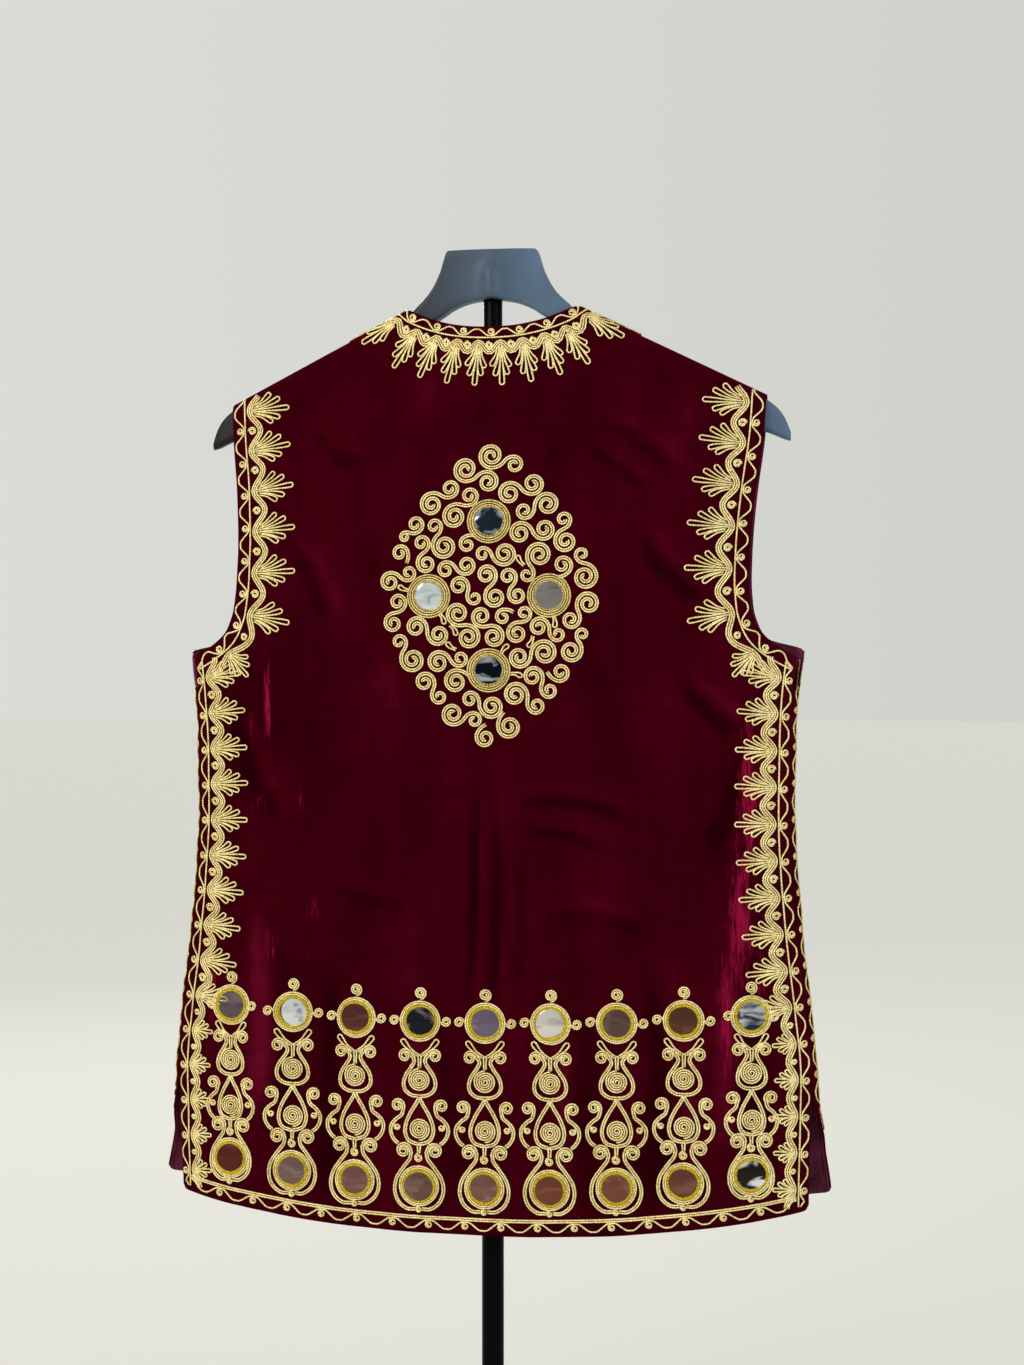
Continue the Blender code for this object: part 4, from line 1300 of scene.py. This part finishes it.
def buildHanger():
    arms = [
        (x, float(shoulderLine(x * mm)) / mm - hanger["belowCloth"], float(shoulderLine(x * mm)) / mm - hanger["armHeight"],
         *hanger["armThick"])
        for x in hanger["armsAt"]
    ]
    rows = hanger["rows"] + arms + hanger["tip"]
    fields = [curveThrough(rows, k, limited=True) for k in range(1, 5)]
    stations = sorted({*np.arange(0, rows[-1][0], hanger["step"]), *[row[0] for row in rows]})
    bm = bmesh.new()
    rings = []
    for x in [-x for x in reversed(stations[1:])] + stations:
        section = hangerSection(x, *[float(field(abs(x))) for field in fields])
        y = float(armLine(x * mm))
        ring = [bm.verts.new((x * mm, y + p.real * mm, p.imag * mm)) for p in section]
        rings.append([bm.edges.new(pair) for pair in zip(ring, ring[1:] + ring[:1])])
    for first, second in zip(rings, rings[1:]):
        bmesh.ops.bridge_loops(bm, edges=first + second)
    for ring in (rings[0], rings[-1]):
        bmesh.ops.contextual_create(bm, geom=ring)
    bmesh.ops.recalc_face_normals(bm, faces=bm.faces)
    return finished("hanger_moulding", bm, plastic, "top", "hanger_plastic", "hanger_head", sharp=50)


def finished(name, bm, material, body, slotName, node, sharp=35):
    mesh = bpy.data.meshes.new(name)
    bm.to_mesh(mesh)
    bm.free()
    mesh.shade_smooth()
    mesh.set_sharp_from_angle(angle=math.radians(sharp))
    mesh.materials.append(material)
    piece = bpy.data.objects.new(name, mesh)
    bpy.context.scene.collection.objects.link(piece)
    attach(piece, body)
    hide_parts(node)
    return piece


def turned(name, profile, material, body, slotName, node, steps=64, soft=0.0006):
    bm = bmesh.new()
    verts = [bm.verts.new((r, 0, z)) for r, z in profile]
    pairs = list(zip(verts, verts[1:]))
    if profile[0][0] > 0:
        pairs.append((verts[-1], verts[0]))
    edges = [bm.edges.new(pair) for pair in pairs]
    bmesh.ops.spin(
        bm, geom=verts + edges, cent=(0, 0, 0), axis=(0, 0, 1), angle=math.tau, steps=steps, use_merge=True
    )
    bmesh.ops.remove_doubles(bm, verts=bm.verts, dist=1e-6)
    bmesh.ops.recalc_face_normals(bm, faces=bm.faces)
    rims = [e for e in bm.edges if len(e.link_faces) == 2 and e.calc_face_angle() > math.radians(40)]
    bmesh.ops.bevel(bm, geom=rims, offset=soft, affect="EDGES", segments=3, profile=0.5, material=-1)
    return finished(name, bm, material, body, slotName, node)


stand = {"tubeWall": 1.2, "slide": 0.35, "bore": 16.0}


def buildStand():
    low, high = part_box("base")
    radius, top = high.x, high.z
    turned("base_disc", [(0, 0), (radius, 0), (radius, top - 0.001), (radius - 0.0015, top), (0, top)],
           powderCoat, "stand", "painted_steel", "base", steps=96, soft=0.0008)
    low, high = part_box("lower_tube")
    flange, outer = high.x, 0.0087
    collarLow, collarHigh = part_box("clamp_collar")
    upperLow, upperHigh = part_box("upper_tube")
    inner = upperHigh.x + stand["slide"] * mm
    foot = low.z
    turned(
        "lower_pole",
        [(0, foot), (flange, foot), (flange, foot + 0.009), (flange - 0.006, foot + 0.012), (outer, foot + 0.012),
         (outer, high.z), (inner, high.z), (inner, stand["bore"] * mm), (0, stand["bore"] * mm)],
        powderCoat, "stand", "painted_steel", "lower_tube", soft=0.0003)
    wall = upperHigh.x - stand["tubeWall"] * mm
    turned(
        "upper_pole",
        [(wall, upperLow.z), (upperHigh.x, upperLow.z), (upperHigh.x, upperHigh.z), (wall, upperHigh.z)],
        powderCoat, "top", "painted_steel", "upper_tube", soft=0.0003)
    clear, big = outer + cut["gap"], collarHigh.x
    grooves = [(big - (0.0006 if i % 2 else 0), collarLow.z + 0.003 + i * 0.002) for i in range(10)]
    turned(
        "pole_collar",
        [(clear, collarLow.z), (big, collarLow.z), *grooves, (big, collarHigh.z), (clear, collarHigh.z)],
        nylon, "stand", "hanger_plastic", "clamp_collar", soft=0.0004)


buildHanger()
buildStand()
print("stand ready")

# ---- floor, light and camera
studio = {"floor": "#96968f", "air": "#d5d5cf", "airStrength": 1.0, "glow": 0.66, "left": "#dcddd9", "right": "#d0d0ca", "floorRadius": 40.0}


def buildStudio():
    bm = bmesh.new()
    bmesh.ops.create_circle(bm, cap_ends=True, segments=64, radius=studio["floorRadius"])
    bmesh.ops.translate(bm, verts=bm.verts, vec=(0, 0, -0.0004))
    mesh = bpy.data.meshes.new("floor")
    bm.to_mesh(mesh)
    bm.free()
    material, tree, shader = newMaterial("paleFloor", Roughness=0.9)
    shader.inputs["Base Color"].default_value = linear(studio["floor"])
    shader.inputs["Emission Color"].default_value = linear(studio["air"])
    shader.inputs["Emission Strength"].default_value = studio["glow"]
    mesh.materials.append(material)
    floor = bpy.data.objects.new("floor", mesh)
    bpy.context.scene.collection.objects.link(floor)
    world = bpy.data.worlds.new("room")
    world.use_nodes = True
    toward = addNode(world.node_tree, "ShaderNodeTexCoord").outputs["Generated"]
    across = addNode(world.node_tree, "ShaderNodeSeparateXYZ", links={"Vector": toward}).outputs["X"]
    share = addNode(world.node_tree, "ShaderNodeMapRange", values={"From Min": -0.4, "From Max": 0.1}, links={0: across})
    air = ramp(world.node_tree, share.outputs[0], (0.0, studio["left"]), (1.0, studio["right"]))
    world.node_tree.links.new(air, world.node_tree.nodes["Background"].inputs["Color"])
    world.node_tree.nodes["Background"].inputs["Strength"].default_value = studio["airStrength"]
    bpy.context.scene.world = world
    bpy.context.scene.view_settings.view_transform = "Standard"


# place, aim, size, watts, colour
lamps = {
    "window": ((-1.7, -2.3, 2.1), (0, 0, 0.65), 1.3, 37, "#fff6ea"),
    "sky": ((2.3, -1.5, 1.5), (0, 0, 0.75), 1.1, 20, "#cfe0ff"),
    "behind": ((-1.2, 2.4, 2.0), (0, 0, 0.6), 1.5, 26, "#fff8ee"),
}


def buildLamps():
    for name, (place, aim, size, watts, colour) in lamps.items():
        lamp = bpy.data.lights.new(name, "AREA")
        lamp.shape = "DISK"
        lamp.size = size
        lamp.energy = watts
        lamp.color = linear(colour)[:3]
        made = bpy.data.objects.new(name, lamp)
        made.location = place
        made.rotation_euler = (Vector(aim) - Vector(place)).to_track_quat("-Z", "Y").to_euler()
        bpy.context.scene.collection.objects.link(made)


view = {"place": (0.3020, -1.8101, 0.6815), "turn": 9.0, "lens": 60.87}


def buildCamera():
    camera = bpy.data.cameras.new("camera")
    camera.lens = view["lens"]
    camera.sensor_width = 36
    made = bpy.data.objects.new("camera", camera)
    made.location = view["place"]
    made.rotation_euler = (math.radians(90), 0, math.radians(view["turn"]))
    bpy.context.scene.collection.objects.link(made)
    bpy.context.scene.camera = made


buildStudio()
buildLamps()
buildCamera()
